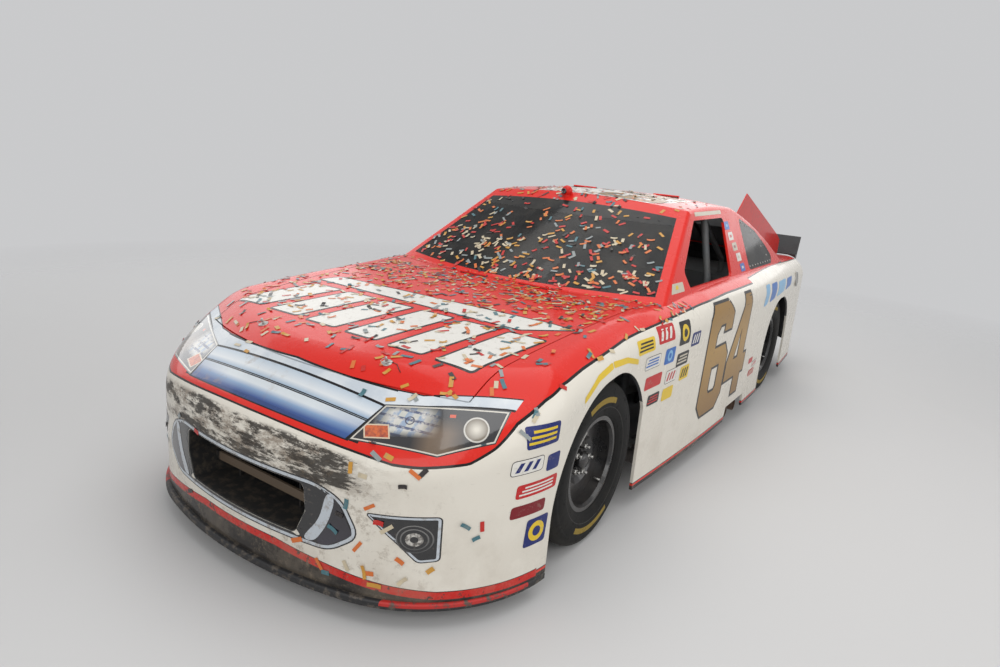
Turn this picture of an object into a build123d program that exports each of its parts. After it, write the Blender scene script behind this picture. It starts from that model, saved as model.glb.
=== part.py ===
"""Stock racing car with a closed body, standing on its wheels.

Millimetres.  The nose points along -Y, the driver's left side is +X and +Z is
up.  The origin lies on the floor under the middle of the car.
"""
from build123d import *
from math import asin, cos, degrees, radians, sin, tan
import os

os.makedirs("parts", exist_ok=True)

# Overall sizes
LENGTH = 5070
NOSE_Y = -LENGTH / 2
TAIL_Y = LENGTH / 2
WHEELBASE = 2794
FRONT_AXLE_Y = -1460
REAR_AXLE_Y = FRONT_AXLE_Y + WHEELBASE
TRACK = 1516
SKIRT_Z = 100
REAR_BUMPER_Z = 200

# Body skin and the gaps round what opens
SKIN = 14
GLASS = 6
GAP = 5
SEAT_GAP = 0.3
SHOULDER_R = 150

# Plan outline of the body, half of it, as tangent arcs
LIP_STEP = 18
FRONT_ARC_R = 1900
FRONT_ARC_HALF = 500
CORNER_R = 612
WAIST_HEADING = 93.0
WAIST_RUN = 540
WAIST_R = 2200
SIDE_HEADING = 86.4
SIDE_R = 22300
REAR_HEADING = 93.5
REAR_RUN = 470
REAR_CORNER_R = 300
REAR_CORNER_HEADING = 169

# Side profile of the lower body, on the centre line
RAMP_SLOPE = 34.0
RAMP_Z = 700
RAMP_Y = -2336
RAMP_BLEND_R = 260
HOOD_RUN_OUT = 600
HOOD_RUN_OUT_DROP = 105
HOOD_FRONT_Y = -2150
HOOD_FRONT_Z = 800
COWL_Z = 915
BELT_Z = 938
BELT_FRONT_Y = -300
BELT_TOP_Y = 1300
BELT_TOP_RISE = 6
TAIL_Z = 912
TAIL_RUN_OUT = 200

# Greenhouse
GLASS_SIDE_X = 825
GLASS_SIDE_Z = 940
TUMBLEHOME = 0.43
ROOF_HEADER = (-260, 1346)
ROOF_TOP = (250, 1383)
ROOF_REAR = (700, 1372)
REAR_GLASS_MID = (1255, 1203)
REAR_GLASS_END = (1790, 920)
ROOF_CROWN_R = 6000
ROOF_EDGE_R = 30
WINDSHIELD_SLOPE = 31.0
WINDSHIELD_BASE_Y = -870
WINDSHIELD_PLAN_R = 3072
GREENHOUSE_CUT_Z = 840
GREENHOUSE_BOTTOM_Z = 905

# Panel seams, along the car
NOSE_SEAM_SIDE_Y = -1960
NOSE_SEAM_CORNER = (700, -2120)
NOSE_SEAM_SHOULDER = (900, -1975)
NOSE_SEAM_CENTRE_Y = -2262
DOOR_FRONT_Y = -1040
DOOR_REAR_Y = 620
QUARTER_REAR_Y = 2280
HOOD_FRONT_HALF = 700
HOOD_REAR_HALF = 760
COWL_Y = -912
COWL_CORNER_Y = -800
DECK_FRONT_Y = 1830
DECK_REAR_Y = 2330
DECK_HALF = 640

# Wheel arches: columns are y ahead of and behind the axle, and heights
ARCH_FRONT = dict(lead=446, rise=300, shoulder=(337, 585), top=(-10, 736), back=(270, 660), tail=385, drop=500)
ARCH_REAR = dict(lead=412, rise=300, shoulder=(330, 600), top=(-20, 722), back=(290, 610), tail=420, drop=300)

# Wheels
TYRE_R = 352
TYRE_W = 292
TYRE_SHOULDER_R = 34
RIM_R = 190.5
RIM_W = 250
RIM_WALL = 7
HUB_R = 78
LUG_COUNT = 5
LUG_PCD = 120.65
BRAKE_R = 150
KINGPIN_X = 630


def body_outline(inset, front_y=NOSE_Y + LIP_STEP):
    """Plan outline as tangent arcs from the nose round to the tail, drawn in by inset."""
    turn = degrees(asin(FRONT_ARC_HALF / FRONT_ARC_R))
    with BuildLine() as half:
        front = JernArc((0, front_y), (1, 0), FRONT_ARC_R, turn)
        corner = JernArc(front @ 1, front % 1, CORNER_R, WAIST_HEADING - turn)
        waist = Line(corner @ 1, corner @ 1 + (corner % 1) * WAIST_RUN)
        hollow = JernArc(waist @ 1, waist % 1, WAIST_R, SIDE_HEADING - WAIST_HEADING)
        side = JernArc(hollow @ 1, hollow % 1, SIDE_R, REAR_HEADING - SIDE_HEADING)
        rear = Line(side @ 1, side @ 1 + (side % 1) * REAR_RUN)
        tail = JernArc(rear @ 1, rear % 1, REAR_CORNER_R, REAR_CORNER_HEADING - REAR_HEADING)
        TangentArc(tail @ 1, (0, TAIL_Y), tangent=tail % 1)
        mirror(about=Plane.YZ)
    face = make_face(half.line.edges(), mode=Mode.PRIVATE)
    return offset(face, amount=-inset, mode=Mode.PRIVATE) if inset else face


def body_top(inset):
    """Block under the hood, belt and deck line."""
    with BuildPart() as top:
        with BuildSketch(Plane.YZ.offset(-LENGTH / 4)):
            with BuildLine():
                hood = ThreePointArc((HOOD_FRONT_Y - HOOD_RUN_OUT, HOOD_FRONT_Z - HOOD_RUN_OUT_DROP - inset),
                                     (HOOD_FRONT_Y, HOOD_FRONT_Z - inset),
                                     (WINDSHIELD_BASE_Y, COWL_Z - inset))
                scuttle = TangentArc(hood @ 1, (BELT_FRONT_Y, BELT_Z - inset), tangent=hood % 1)
                deck = ThreePointArc(scuttle @ 1, (BELT_TOP_Y, BELT_Z + BELT_TOP_RISE - inset),
                                     (TAIL_Y + TAIL_RUN_OUT, TAIL_Z - inset))
                Polyline(deck @ 1, (TAIL_Y + TAIL_RUN_OUT, 0), (HOOD_FRONT_Y - HOOD_RUN_OUT, 0), hood @ 0)
            make_face()
        extrude(amount=LENGTH / 2)
    return top.part


def nose_ramp(inset):
    """Block under the cone that carries the grille and the headlamps."""
    axis_y = NOSE_Y + LIP_STEP + FRONT_ARC_R
    rise = tan(radians(RAMP_SLOPE))
    low_y = RAMP_Y - HOOD_RUN_OUT
    low_z = RAMP_Z - HOOD_RUN_OUT * rise - inset / cos(radians(RAMP_SLOPE))
    with BuildPart() as ramp:
        with BuildSketch(Plane.YZ) as profile:
            with BuildLine():
                Polyline((low_y, low_z), (axis_y, low_z + (axis_y - low_y) * rise), (axis_y, 0), (low_y, 0),
                         close=True)
            make_face()
        revolve(profile.sketch, axis=Axis((0, axis_y, 0), (0, 0, 1)), revolution_arc=360)
        with Locations((0, TAIL_Y, 0)):
            Box(LENGTH, 2 * (TAIL_Y - axis_y), 3 * BELT_Z)
    return ramp.part


def body_solid(inset):
    """Whole lower body: plan outline, nose ramp and top line, with one rolled shoulder."""
    with BuildPart() as body:
        with BuildSketch(Plane.XY.offset(SKIRT_Z - 4 * inset)):
            add(body_outline(inset))
        extrude(amount=BELT_Z * 1.2)
        add(body_top(inset), mode=Mode.INTERSECT)
        add(nose_ramp(inset), mode=Mode.INTERSECT)
        bend = [e for e in body.edges() if RAMP_Y < e.center().Y < DOOR_FRONT_Y - 800
                and e.center().Z > RAMP_Z and abs(e.tangent_at(0.5).X) > 0.5]
        fillet(bend, radius=RAMP_BLEND_R - inset)
        rim = []
        for edge in body.edges():
            if min((edge @ t).Z for t in (0, 0.5, 1)) < RAMP_Z / 2:
                continue
            tilts = [abs(f.normal_at(edge @ 0.5).Z) for f in body.faces() if any(edge.is_same(g) for g in f.edges())]
            if min(tilts) < 0.05 and max(tilts) > 0.3:
                rim.append(edge)
        fillet(rim, radius=SHOULDER_R - inset)
    return body.part


def greenhouse_solid(inset):
    """Roof, pillars and glass as one block: tumblehome sides, coned windshield, crowned roof."""
    lean = TUMBLEHOME
    side_inset = inset * (1 + lean ** 2) ** 0.5
    top_z = ROOF_TOP[1] + 40
    half_low = GLASS_SIDE_X - lean * (GREENHOUSE_CUT_Z - GLASS_SIDE_Z) - side_inset
    half_top = GLASS_SIDE_X - lean * (top_z - GLASS_SIDE_Z) - side_inset
    axis_z = ROOF_TOP[1] - ROOF_CROWN_R
    sweep_angle = 18
    crown_plane = Plane(origin=(0, 0, axis_z), x_dir=(0, 1, 0),
                        z_dir=(cos(radians(sweep_angle / 2)), 0, sin(radians(sweep_angle / 2))))
    slope = tan(radians(WINDSHIELD_SLOPE))
    glass_drop = inset / cos(radians(WINDSHIELD_SLOPE))
    cone_axis_y = WINDSHIELD_BASE_Y + (GLASS_SIDE_Z - COWL_Z) / slope + WINDSHIELD_PLAN_R

    def level(point):
        return (point[0], point[1] - inset - axis_z)

    with BuildPart() as cabin:
        with BuildSketch(Plane.XZ.offset(-DOOR_FRONT_Y)):
            with BuildLine():
                Polyline((-half_low, GREENHOUSE_CUT_Z), (half_low, GREENHOUSE_CUT_Z), (half_top, top_z),
                         (-half_top, top_z), close=True)
            make_face()
        extrude(amount=-(REAR_GLASS_END[0] - DOOR_FRONT_Y) - 100)
        with BuildSketch(crown_plane, mode=Mode.PRIVATE) as roof_profile:
            with BuildLine():
                roof = ThreePointArc(level((ROOF_HEADER[0] - 400, ROOF_HEADER[1] - 60)), level(ROOF_TOP),
                                     level(ROOF_REAR))
                rear = ThreePointArc(roof @ 1, level(REAR_GLASS_MID), level(REAR_GLASS_END))
                Polyline(rear @ 1, level((REAR_GLASS_END[0], GREENHOUSE_CUT_Z - 100)),
                         level((ROOF_HEADER[0] - 1400, GREENHOUSE_CUT_Z - 100)),
                         level((ROOF_HEADER[0] - 1400, ROOF_HEADER[1] - 60)), roof @ 0)
            make_face()
        revolve(roof_profile.sketch, axis=Axis((0, 0, axis_z), (0, 1, 0)), revolution_arc=sweep_angle,
                mode=Mode.INTERSECT)
        with BuildSketch(Plane.YZ, mode=Mode.PRIVATE) as cone_profile:
            with BuildLine():
                low_y = WINDSHIELD_BASE_Y - 600
                low_z = COWL_Z - 600 * slope - glass_drop
                Polyline((low_y, low_z), (cone_axis_y, low_z + (cone_axis_y - low_y) * slope),
                         (cone_axis_y, low_z - 100), (low_y, low_z - 100), close=True)
            make_face()
        revolve(cone_profile.sketch, axis=Axis((0, cone_axis_y, 0), (0, 0, 1)), revolution_arc=360,
                mode=Mode.INTERSECT)
        corners = []
        for edge in cabin.edges():
            if max((edge @ t).Z for t in (0, 0.5, 1)) < BELT_Z:
                continue
            sides = [f for f in cabin.faces() if any(edge.is_same(g) for g in f.edges())]
            normals = [f.normal_at(edge @ 0.5) for f in sides]
            if normals[0].get_angle(normals[1]) > 15 and all(abs(n.Y) < 0.99 for n in normals):
                corners.append(edge)
        fillet(corners, radius=ROOF_EDGE_R - inset)
    return cabin.part


def save(piece, name):
    """Label a finished piece and write it out."""
    piece.part.label = name
    export_step(piece.part, f"parts/{name}.step")


def block(x0, x1, y0, y1, z0, z1):
    """Box between two corners, kept out of any open builder."""
    return Pos((x0 + x1) / 2, (y0 + y1) / 2, (z0 + z1) / 2) * Box(x1 - x0, y1 - y0, z1 - z0, mode=Mode.PRIVATE)


def arch_cutter(axle_y, arch):
    """Wheel opening seen from the side, drawn from its lead to its tail and cut through both sides."""
    with BuildPart() as cutter:
        with BuildSketch(Plane.YZ.offset(-LENGTH / 4)):
            with BuildLine():
                fore = axle_y - arch["lead"]
                aft = axle_y + arch["tail"]
                crown = (axle_y + arch["top"][0], arch["top"][1])
                front = ThreePointArc((fore, arch["rise"]), (axle_y - arch["shoulder"][0], arch["shoulder"][1]),
                                      crown)
                back = ThreePointArc(crown, (axle_y + arch["back"][0], arch["back"][1]), (aft, arch["drop"]))
                Polyline(back @ 1, (aft, 0), (fore, 0), front @ 0)
            make_face()
        extrude(amount=LENGTH / 2)
    return cutter.part


def hood_seam(grow):
    """Plan shape of the nose cover: everything ahead of the hood and of the front wheels."""
    corner_x, corner_y = NOSE_SEAM_CORNER
    with BuildPart() as cover:
        with BuildSketch(Plane.XY):
            with BuildLine():
                arc = ThreePointArc((-corner_x, corner_y + grow), (0, NOSE_SEAM_CENTRE_Y + grow),
                                    (corner_x, corner_y + grow))
                side_x, side_y = NOSE_SEAM_SHOULDER
                Polyline(arc @ 1, (side_x, side_y), (LENGTH / 4, NOSE_SEAM_SIDE_Y), (LENGTH / 4, NOSE_Y - 100),
                         (-LENGTH / 4, NOSE_Y - 100), (-LENGTH / 4, NOSE_SEAM_SIDE_Y), (-side_x, side_y), arc @ 0)
            make_face()
        extrude(amount=ROOF_TOP[1])
    return cover.part


def hood_plan(inset):
    """Plan shape of the hood, from the nose cover back to the cowl."""
    with BuildPart() as plan:
        with BuildSketch(Plane.XY):
            with BuildLine():
                arc = ThreePointArc((HOOD_REAR_HALF - inset, COWL_CORNER_Y - 20 - inset), (0, COWL_Y - inset),
                                    (-HOOD_REAR_HALF + inset, COWL_CORNER_Y - 20 - inset))
                Polyline(arc @ 1, (-HOOD_FRONT_HALF + inset, NOSE_SEAM_CENTRE_Y - 50),
                         (HOOD_FRONT_HALF - inset, NOSE_SEAM_CENTRE_Y - 50), arc @ 0)
            make_face()
        extrude(amount=ROOF_TOP[1])
    return plan.part - hood_seam(inset)


def deck_plan(inset):
    """Plan shape of the deck lid."""
    return block(-DECK_HALF + inset, DECK_HALF - inset, DECK_FRONT_Y + inset, DECK_REAR_Y - inset, 700, 1100)


def window_prism(plane, outline, corner_r, depth):
    """Rounded window opening cut along a plane's normal, both ways."""
    with BuildPart() as prism:
        with BuildSketch(plane) as shape:
            with BuildLine():
                Polyline(*outline, close=True)
            make_face()
            fillet(shape.vertices(), radius=corner_r)
        extrude(amount=depth, both=True)
    return prism.part


# Lower body shell, with the wheel arches and the seat of the greenhouse cut out
WIDE = LENGTH / 4
cabin_outer = greenhouse_solid(0)
body_outer = body_solid(0)
lower_shell = body_outer - body_solid(SKIN) - cabin_outer
front_shell = lower_shell & block(-WIDE, WIDE, NOSE_Y - 50, DOOR_FRONT_Y, 0, 1200)
front_shell = front_shell - arch_cutter(FRONT_AXLE_Y, ARCH_FRONT)
cowl_shell = lower_shell & block(-WIDE, WIDE, DOOR_FRONT_Y, COWL_CORNER_Y + 60, 0, 1200)
door_shell = lower_shell & block(-WIDE, WIDE, DOOR_FRONT_Y, DOOR_REAR_Y, 0, 1200)
rear_shell = lower_shell & block(-WIDE, WIDE, DOOR_REAR_Y, TAIL_Y + 50, 0, 1200)
rear_shell = rear_shell - arch_cutter(REAR_AXLE_Y, ARCH_REAR)
left_half = block(0, WIDE, NOSE_Y - 50, TAIL_Y + 50, 0, 1500)
right_half = block(-WIDE, 0, NOSE_Y - 50, TAIL_Y + 50, 0, 1500)


def skin_height(solid, x, y):
    """Height of a solid's top surface over a point of the floor."""
    return max(point.Z for point, _ in solid.find_intersection_points(Axis((x, y, 2 * ROOF_TOP[1]), (0, 0, -1))))


# Hinges of the hood, deck lid and roof flaps: rod radii, lengths and lift above the skin
HINGE_R = 8
HINGE_PIN_R = 4
HINGE_LIFT = 4
HINGE_BARREL = 120
HINGE_LUG = 26


def hinge_rod(radius, centre, length):
    return Pos(*centre) * Rot(0, 90, 0) * Cylinder(radius, length, mode=Mode.PRIVATE)


def hinge(centres):
    """Barrels for the lid, their bores, lugs with pins for the fixed panel, and the room each needs."""
    barrels, bores, barrel_room, lugs, lug_room = [], [], [], [], []
    for x, y, z in centres:
        barrels.append(hinge_rod(HINGE_R, (x, y, z), HINGE_BARREL))
        bores.append(hinge_rod(HINGE_PIN_R + SEAT_GAP, (x, y, z), HINGE_BARREL + 1))
        barrel_room.append(hinge_rod(HINGE_R + GAP, (x, y, z), HINGE_BARREL + 2 * SEAT_GAP))
        lugs.append(hinge_rod(HINGE_PIN_R, (x, y, z), HINGE_BARREL + 2 * HINGE_LUG))
        for side in (1, -1):
            lug_x = x + side * (HINGE_BARREL / 2 + SEAT_GAP + HINGE_LUG / 2)
            lugs.append(hinge_rod(HINGE_R, (lug_x, y, z), HINGE_LUG))
            lug_room.append(hinge_rod(HINGE_R + GAP, (lug_x, y, z), HINGE_LUG + 2 * SEAT_GAP))
    return barrels, bores, barrel_room, lugs, lug_room


# Intake opening in the nose: corner points seen from the front, as x and z
INTAKE_LOW_Z = 256
INTAKE_HIGH_Z = 450
INTAKE = [(-292, INTAKE_LOW_Z), (292, INTAKE_LOW_Z), (334, 350), (326, INTAKE_HIGH_Z), (-326, INTAKE_HIGH_Z), (-334, 350)]
INTAKE_R = 28
intake = window_prism(Plane.XZ.offset(-NOSE_Y), INTAKE, INTAKE_R, 400)

# Points of the lamps and the grille on the nose: x, y and z
LAMP_POINTS = [(432, -2393, 601), (472, -2273, 718), (838, -2055, 730), (862, -2172, 668), (735, -2310, 622)]
LAMP_NORMAL = (0.42, -0.62, 0.66)
GRILLE_POINTS = [(-430, -2398, 601), (430, -2398, 601), (468, -2278, 716), (-468, -2278, 716)]
GRILLE_NORMAL = (0, -0.56, 0.83)


def facing_prism(points, normal, depth):
    """Prism over points of a slanted face, cut along its normal."""
    plane = Plane(origin=points[0], z_dir=normal)
    local = [plane.to_local_coords(Vector(*p)) for p in points]
    with BuildPart() as prism:
        with BuildSketch(plane):
            with BuildLine():
                Polyline(*[(p.X, p.Y) for p in local], close=True)
            make_face()
        extrude(amount=depth, both=True)
    return prism.part


lamp_left = facing_prism(LAMP_POINTS, LAMP_NORMAL, 90)
lamps = lamp_left + mirror(lamp_left, about=Plane.YZ)
grille_prism = facing_prism(GRILLE_POINTS, GRILLE_NORMAL, 60) - lamps
nose_shell = front_shell & hood_seam(0)

# Nose cover with its intake
with BuildPart() as nose:
    add(nose_shell)
    add(intake, mode=Mode.SUBTRACT)
    add(grille_prism, mode=Mode.SUBTRACT)
    add(lamps, mode=Mode.SUBTRACT)
save(nose, "nose")

# Upper grille blank, flush in the nose cover
with BuildPart() as upper_grille:
    add(nose_shell)
    add(grille_prism, mode=Mode.INTERSECT)
save(upper_grille, "upper_grille")

# Headlamp blanks, one on each side
with BuildPart() as headlamps:
    add(nose_shell)
    add(lamps, mode=Mode.INTERSECT)
save(headlamps, "headlamps")

# Intake duct behind the opening, with its cross bar and two upright stays
DUCT_REAR_Y = -2160
DUCT_T = 4
INTAKE_BAR_Y = -2380
INTAKE_BAR_Z = 312
INTAKE_BAR_HALF = 312
with BuildPart() as lower_grille:
    with BuildSketch(Plane.XZ.offset(-NOSE_Y)) as mouth:
        with BuildLine():
            Polyline(*INTAKE, close=True)
        make_face()
        fillet(mouth.vertices(), radius=INTAKE_R)
        offset(amount=-SEAT_GAP, mode=Mode.REPLACE)
        throat = offset(mouth.sketch, amount=-DUCT_T, mode=Mode.PRIVATE)
    extrude(amount=-(DUCT_REAR_Y - NOSE_Y))
    with BuildSketch(Plane.XZ.offset(-NOSE_Y)):
        add(throat)
    extrude(amount=-(DUCT_REAR_Y - NOSE_Y), mode=Mode.SUBTRACT)
    with Locations((0, INTAKE_BAR_Y, INTAKE_BAR_Z)):
        Box(2 * INTAKE_BAR_HALF, 10, 34)
    for x in (-175, 175):
        with Locations((x, INTAKE_BAR_Y + 10, (INTAKE_LOW_Z + INTAKE_HIGH_Z) / 2)):
            Box(8, 10, INTAKE_HIGH_Z - INTAKE_LOW_Z - DUCT_T)
    add(body_solid(4), mode=Mode.INTERSECT)
save(lower_grille, "lower_grille")

# Splitter under the nose, its front edge standing ahead of the cover
SPLITTER_Z = 75
SPLITTER_EDGE_R = 8
SPLITTER_REAR_Y = -1906
with BuildPart() as splitter:
    with BuildSketch(Plane.XY.offset(SPLITTER_Z)):
        add(body_outline(0, NOSE_Y))
        with Locations((0, SPLITTER_REAR_Y + LENGTH / 2)):
            Rectangle(LENGTH, LENGTH, mode=Mode.SUBTRACT)
    extrude(amount=SKIRT_Z - SPLITTER_Z)
    fillet(splitter.faces().sort_by(Axis.Z)[-1].edges().filter_by(GeomType.CIRCLE), radius=SPLITTER_EDGE_R)
save(splitter, "splitter")

# Hood, hinged along its rear edge
HOOD_HINGE_X = 190
hood_hinge_y = COWL_Y + 4
hood_hinge_z = skin_height(body_outer, HOOD_HINGE_X, hood_hinge_y) + HINGE_LIFT
hood_hinges = [(side * HOOD_HINGE_X, hood_hinge_y, hood_hinge_z) for side in (1, -1)]
barrels, bores, barrel_room, lugs, lug_room = hinge(hood_hinges)
with BuildPart() as hood:
    add(front_shell + cowl_shell)
    add(hood_plan(GAP), mode=Mode.INTERSECT)
    add(lug_room, mode=Mode.SUBTRACT)
    add(barrels)
    add(bores, mode=Mode.SUBTRACT)
save(hood, "hood")

# Cowl strip between the hood and the windshield, with the fixed half of the hinge
COWL_STRIP_HALF = 700
hood_hole = hood_plan(0)
cowl_zone = block(-COWL_STRIP_HALF, COWL_STRIP_HALF, COWL_Y - 50, COWL_CORNER_Y + 60, 800, 1000)
with BuildPart() as cowl:
    add(cowl_shell)
    add(cowl_zone, mode=Mode.INTERSECT)
    add(hood_hole, mode=Mode.SUBTRACT)
    add(barrel_room, mode=Mode.SUBTRACT)
    add(lugs)
save(cowl, "cowl")

# Front fenders, over the front wheels
fender_shell = front_shell - hood_seam(0) - hood_hole
for name, half in (("fender_left", left_half), ("fender_right", right_half)):
    with BuildPart() as fender:
        add(fender_shell)
        add(half, mode=Mode.INTERSECT)
    save(fender, name)

# Door skins: fixed panels, because the driver climbs in through the window; the left one cut out for the pipes
PIPE_NOTCH = [(153, SKIRT_Z - 10), (178, SKIRT_Z + 90), (540, SKIRT_Z + 90), (565, SKIRT_Z - 10)]
pipe_notch = window_prism(Plane.YZ.offset(WIDE / 2), PIPE_NOTCH, 5, WIDE / 2)
for name, half in (("door_left", left_half - pipe_notch), ("door_right", right_half)):
    with BuildPart() as door:
        add(door_shell)
        add(half, mode=Mode.INTERSECT)
        add(hood_hole, mode=Mode.SUBTRACT)
        add(cowl_zone, mode=Mode.SUBTRACT)
    save(door, name)

# Deck lid, hinged along its front edge
DECK_HINGE_X = 420
deck_hinge_z = skin_height(body_outer, DECK_HINGE_X, DECK_FRONT_Y) + HINGE_LIFT
deck_hinges = [(side * DECK_HINGE_X, DECK_FRONT_Y, deck_hinge_z) for side in (1, -1)]
barrels, bores, barrel_room, lugs, lug_room = hinge(deck_hinges)
with BuildPart() as decklid:
    add(rear_shell)
    add(deck_plan(GAP), mode=Mode.INTERSECT)
    add(lug_room, mode=Mode.SUBTRACT)
    add(barrels)
    add(bores, mode=Mode.SUBTRACT)
save(decklid, "decklid")

# Quarter panels, over the rear wheels, each with its half of the strip ahead of the deck lid
deck_hole = deck_plan(0)
quarter_zone = block(-WIDE, WIDE, DOOR_REAR_Y, QUARTER_REAR_Y, 0, 1200)
for name, half in (("quarter_left", left_half), ("quarter_right", right_half)):
    with BuildPart() as quarter:
        add(rear_shell)
        add(quarter_zone, mode=Mode.INTERSECT)
        add(deck_hole, mode=Mode.SUBTRACT)
        add(barrel_room, mode=Mode.SUBTRACT)
        add(lugs)
        add(half, mode=Mode.INTERSECT)
    save(quarter, name)

# Tail cover behind the quarter panels
with BuildPart() as tail:
    add(rear_shell)
    add(block(-WIDE, WIDE, QUARTER_REAR_Y, TAIL_Y + 10, REAR_BUMPER_Z, 1200), mode=Mode.INTERSECT)
    add(deck_hole, mode=Mode.SUBTRACT)
save(tail, "tail")

# Windows of the greenhouse: side openings as y and z, the glass from the front and above
WINDSHIELD_LOW = [(-772, 942), (0, 925), (772, 942)]
WINDSHIELD_HIGH = [(618, 1290), (0, 1318), (-618, 1290)]
DRIVER_WINDOW = [(-362, 952), (-395, 1040), (-60, 1281), (482, 1284), (372, 952)]
QUARTER_WINDOW = [(775, 952), (802, 1277), (1122, 1180), (1296, 1077), (1400, 994), (1340, 952)]
REAR_WINDOW = [(-560, 880), (560, 880), (650, 1640), (-650, 1640)]
with BuildPart() as windshield_prism:
    with BuildSketch(Plane.XZ):
        with BuildLine():
            low = ThreePointArc(*WINDSHIELD_LOW)
            high = ThreePointArc(*WINDSHIELD_HIGH)
            Line(low @ 1, high @ 0)
            Line(high @ 1, low @ 0)
        make_face()
    extrude(amount=1100)
driver_prism = window_prism(Plane.YZ, DRIVER_WINDOW, 30, WIDE)
quarter_prism = window_prism(Plane.YZ, QUARTER_WINDOW, 30, WIDE)
rear_prism = window_prism(Plane.XY.offset(1100), REAR_WINDOW, 60, 300)
right_window_prism = driver_prism & right_half
glass_shell = cabin_outer - greenhouse_solid(GLASS)
above_belt = block(-WIDE, WIDE, -1100, 2000, GREENHOUSE_BOTTOM_Z, 1500)

# Roof flaps near the rear edge of the roof: one each side, hinged at the front
FLAP_IN = 70
FLAP_OUT = 520
FLAP_FRONT_Y = 470
FLAP_REAR_Y = 660
FLAP_HINGE_X = 295
flap_hinge_z = skin_height(cabin_outer, FLAP_HINGE_X, FLAP_FRONT_Y) + HINGE_LIFT
flap_hinges = [(side * FLAP_HINGE_X, FLAP_FRONT_Y, flap_hinge_z) for side in (1, -1)]
flap_zones = [block(*sorted((side * FLAP_IN, side * FLAP_OUT)), FLAP_FRONT_Y, FLAP_REAR_Y, 1250, 1500)
              for side in (1, -1)]
flap_cuts = [block(*sorted((side * (FLAP_IN + GAP), side * (FLAP_OUT - GAP))), FLAP_FRONT_Y + GAP,
                   FLAP_REAR_Y - GAP, 1250, 1500) for side in (1, -1)]
roof_shell = (cabin_outer - greenhouse_solid(SKIN)) & above_belt
for name, zone, centre in zip(("roof_flap_left", "roof_flap_right"), flap_cuts, flap_hinges):
    barrels, bores, barrel_room, lugs, lug_room = hinge([centre])
    with BuildPart() as flap:
        add(roof_shell)
        add(zone, mode=Mode.INTERSECT)
        add(lug_room, mode=Mode.SUBTRACT)
        add(barrels)
        add(bores, mode=Mode.SUBTRACT)
    save(flap, name)

# Roof with its pillars, window openings and flap openings
barrels, bores, barrel_room, lugs, lug_room = hinge(flap_hinges)
with BuildPart() as roof:
    add(roof_shell)
    for opening in (windshield_prism.part, driver_prism, quarter_prism, rear_prism, *flap_zones):
        add(opening, mode=Mode.SUBTRACT)
    add(barrel_room, mode=Mode.SUBTRACT)
    add(lugs)
save(roof, "roof")

# Glass: windshield, rear window, quarter windows and the pane of the right window
for name, prisms in (("windshield", [windshield_prism.part]), ("rear_window", [rear_prism]),
                     ("side_windows", [quarter_prism, right_window_prism])):
    with BuildPart() as glass:
        add(glass_shell & above_belt)
        add(prisms[0] if len(prisms) == 1 else prisms[0] + prisms[1], mode=Mode.INTERSECT)
    save(glass, name)

# Spoiler standing on the rear edge of the deck lid
SPOILER_HALF = 800
SPOILER_Y = 2300
SPOILER_HEIGHT = 150
SPOILER_LEAN = 60
SPOILER_T = 5
SPOILER_FOOT = 45
with BuildPart() as spoiler:
    with BuildSketch(Plane.YZ.offset(-SPOILER_HALF)):
        with BuildLine():
            Polyline((SPOILER_Y - SPOILER_FOOT, BELT_Z - 60), (SPOILER_Y - SPOILER_FOOT, BELT_Z + SPOILER_T),
                     (SPOILER_Y - SPOILER_T, BELT_Z + SPOILER_T),
                     (SPOILER_Y + SPOILER_LEAN - SPOILER_T, BELT_Z + SPOILER_HEIGHT),
                     (SPOILER_Y + SPOILER_LEAN, BELT_Z + SPOILER_HEIGHT), (SPOILER_Y, BELT_Z - 60), close=True)
        make_face()
    extrude(amount=2 * SPOILER_HALF)
    add(body_outer, mode=Mode.SUBTRACT)
    for side in (1, -1):
        overhang = block(*sorted((side * (DECK_HALF - 2 * GAP), side * SPOILER_HALF)), SPOILER_Y - 200, TAIL_Y, 0, 1200)
        add(Pos(0, 0, 2 * GAP) * body_outer & overhang, mode=Mode.SUBTRACT)
save(spoiler, "spoiler")

# Fin on the left edge of the roof, rear window and deck: a thin upright plate
FIN_X = 655
FIN_T = 6
FIN_OUTLINE = [(770, 1240), (1020, 1430), (2120, 1100), (2235, 1055), (2235, 900), (770, 900)]
with BuildPart() as roof_fin:
    with BuildSketch(Plane.YZ.offset(FIN_X - FIN_T / 2)):
        with BuildLine():
            Polyline(*FIN_OUTLINE, close=True)
        make_face()
    extrude(amount=FIN_T)
    add(cabin_outer, mode=Mode.SUBTRACT)
    add(body_outer, mode=Mode.SUBTRACT)
save(roof_fin, "roof_fin")

# Camera pod on the front of the roof
CAMERA_X = -92
CAMERA_Y = -150
CAMERA_R = 34
with BuildPart() as roof_camera:
    with Locations((CAMERA_X, CAMERA_Y, skin_height(cabin_outer, CAMERA_X, CAMERA_Y) + 22)):
        Sphere(CAMERA_R)
    with Locations((CAMERA_X, CAMERA_Y, skin_height(cabin_outer, CAMERA_X, CAMERA_Y) - 8)):
        Cylinder(CAMERA_R * 0.8, 60)
    add(cabin_outer, mode=Mode.SUBTRACT)
save(roof_camera, "roof_camera")

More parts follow.
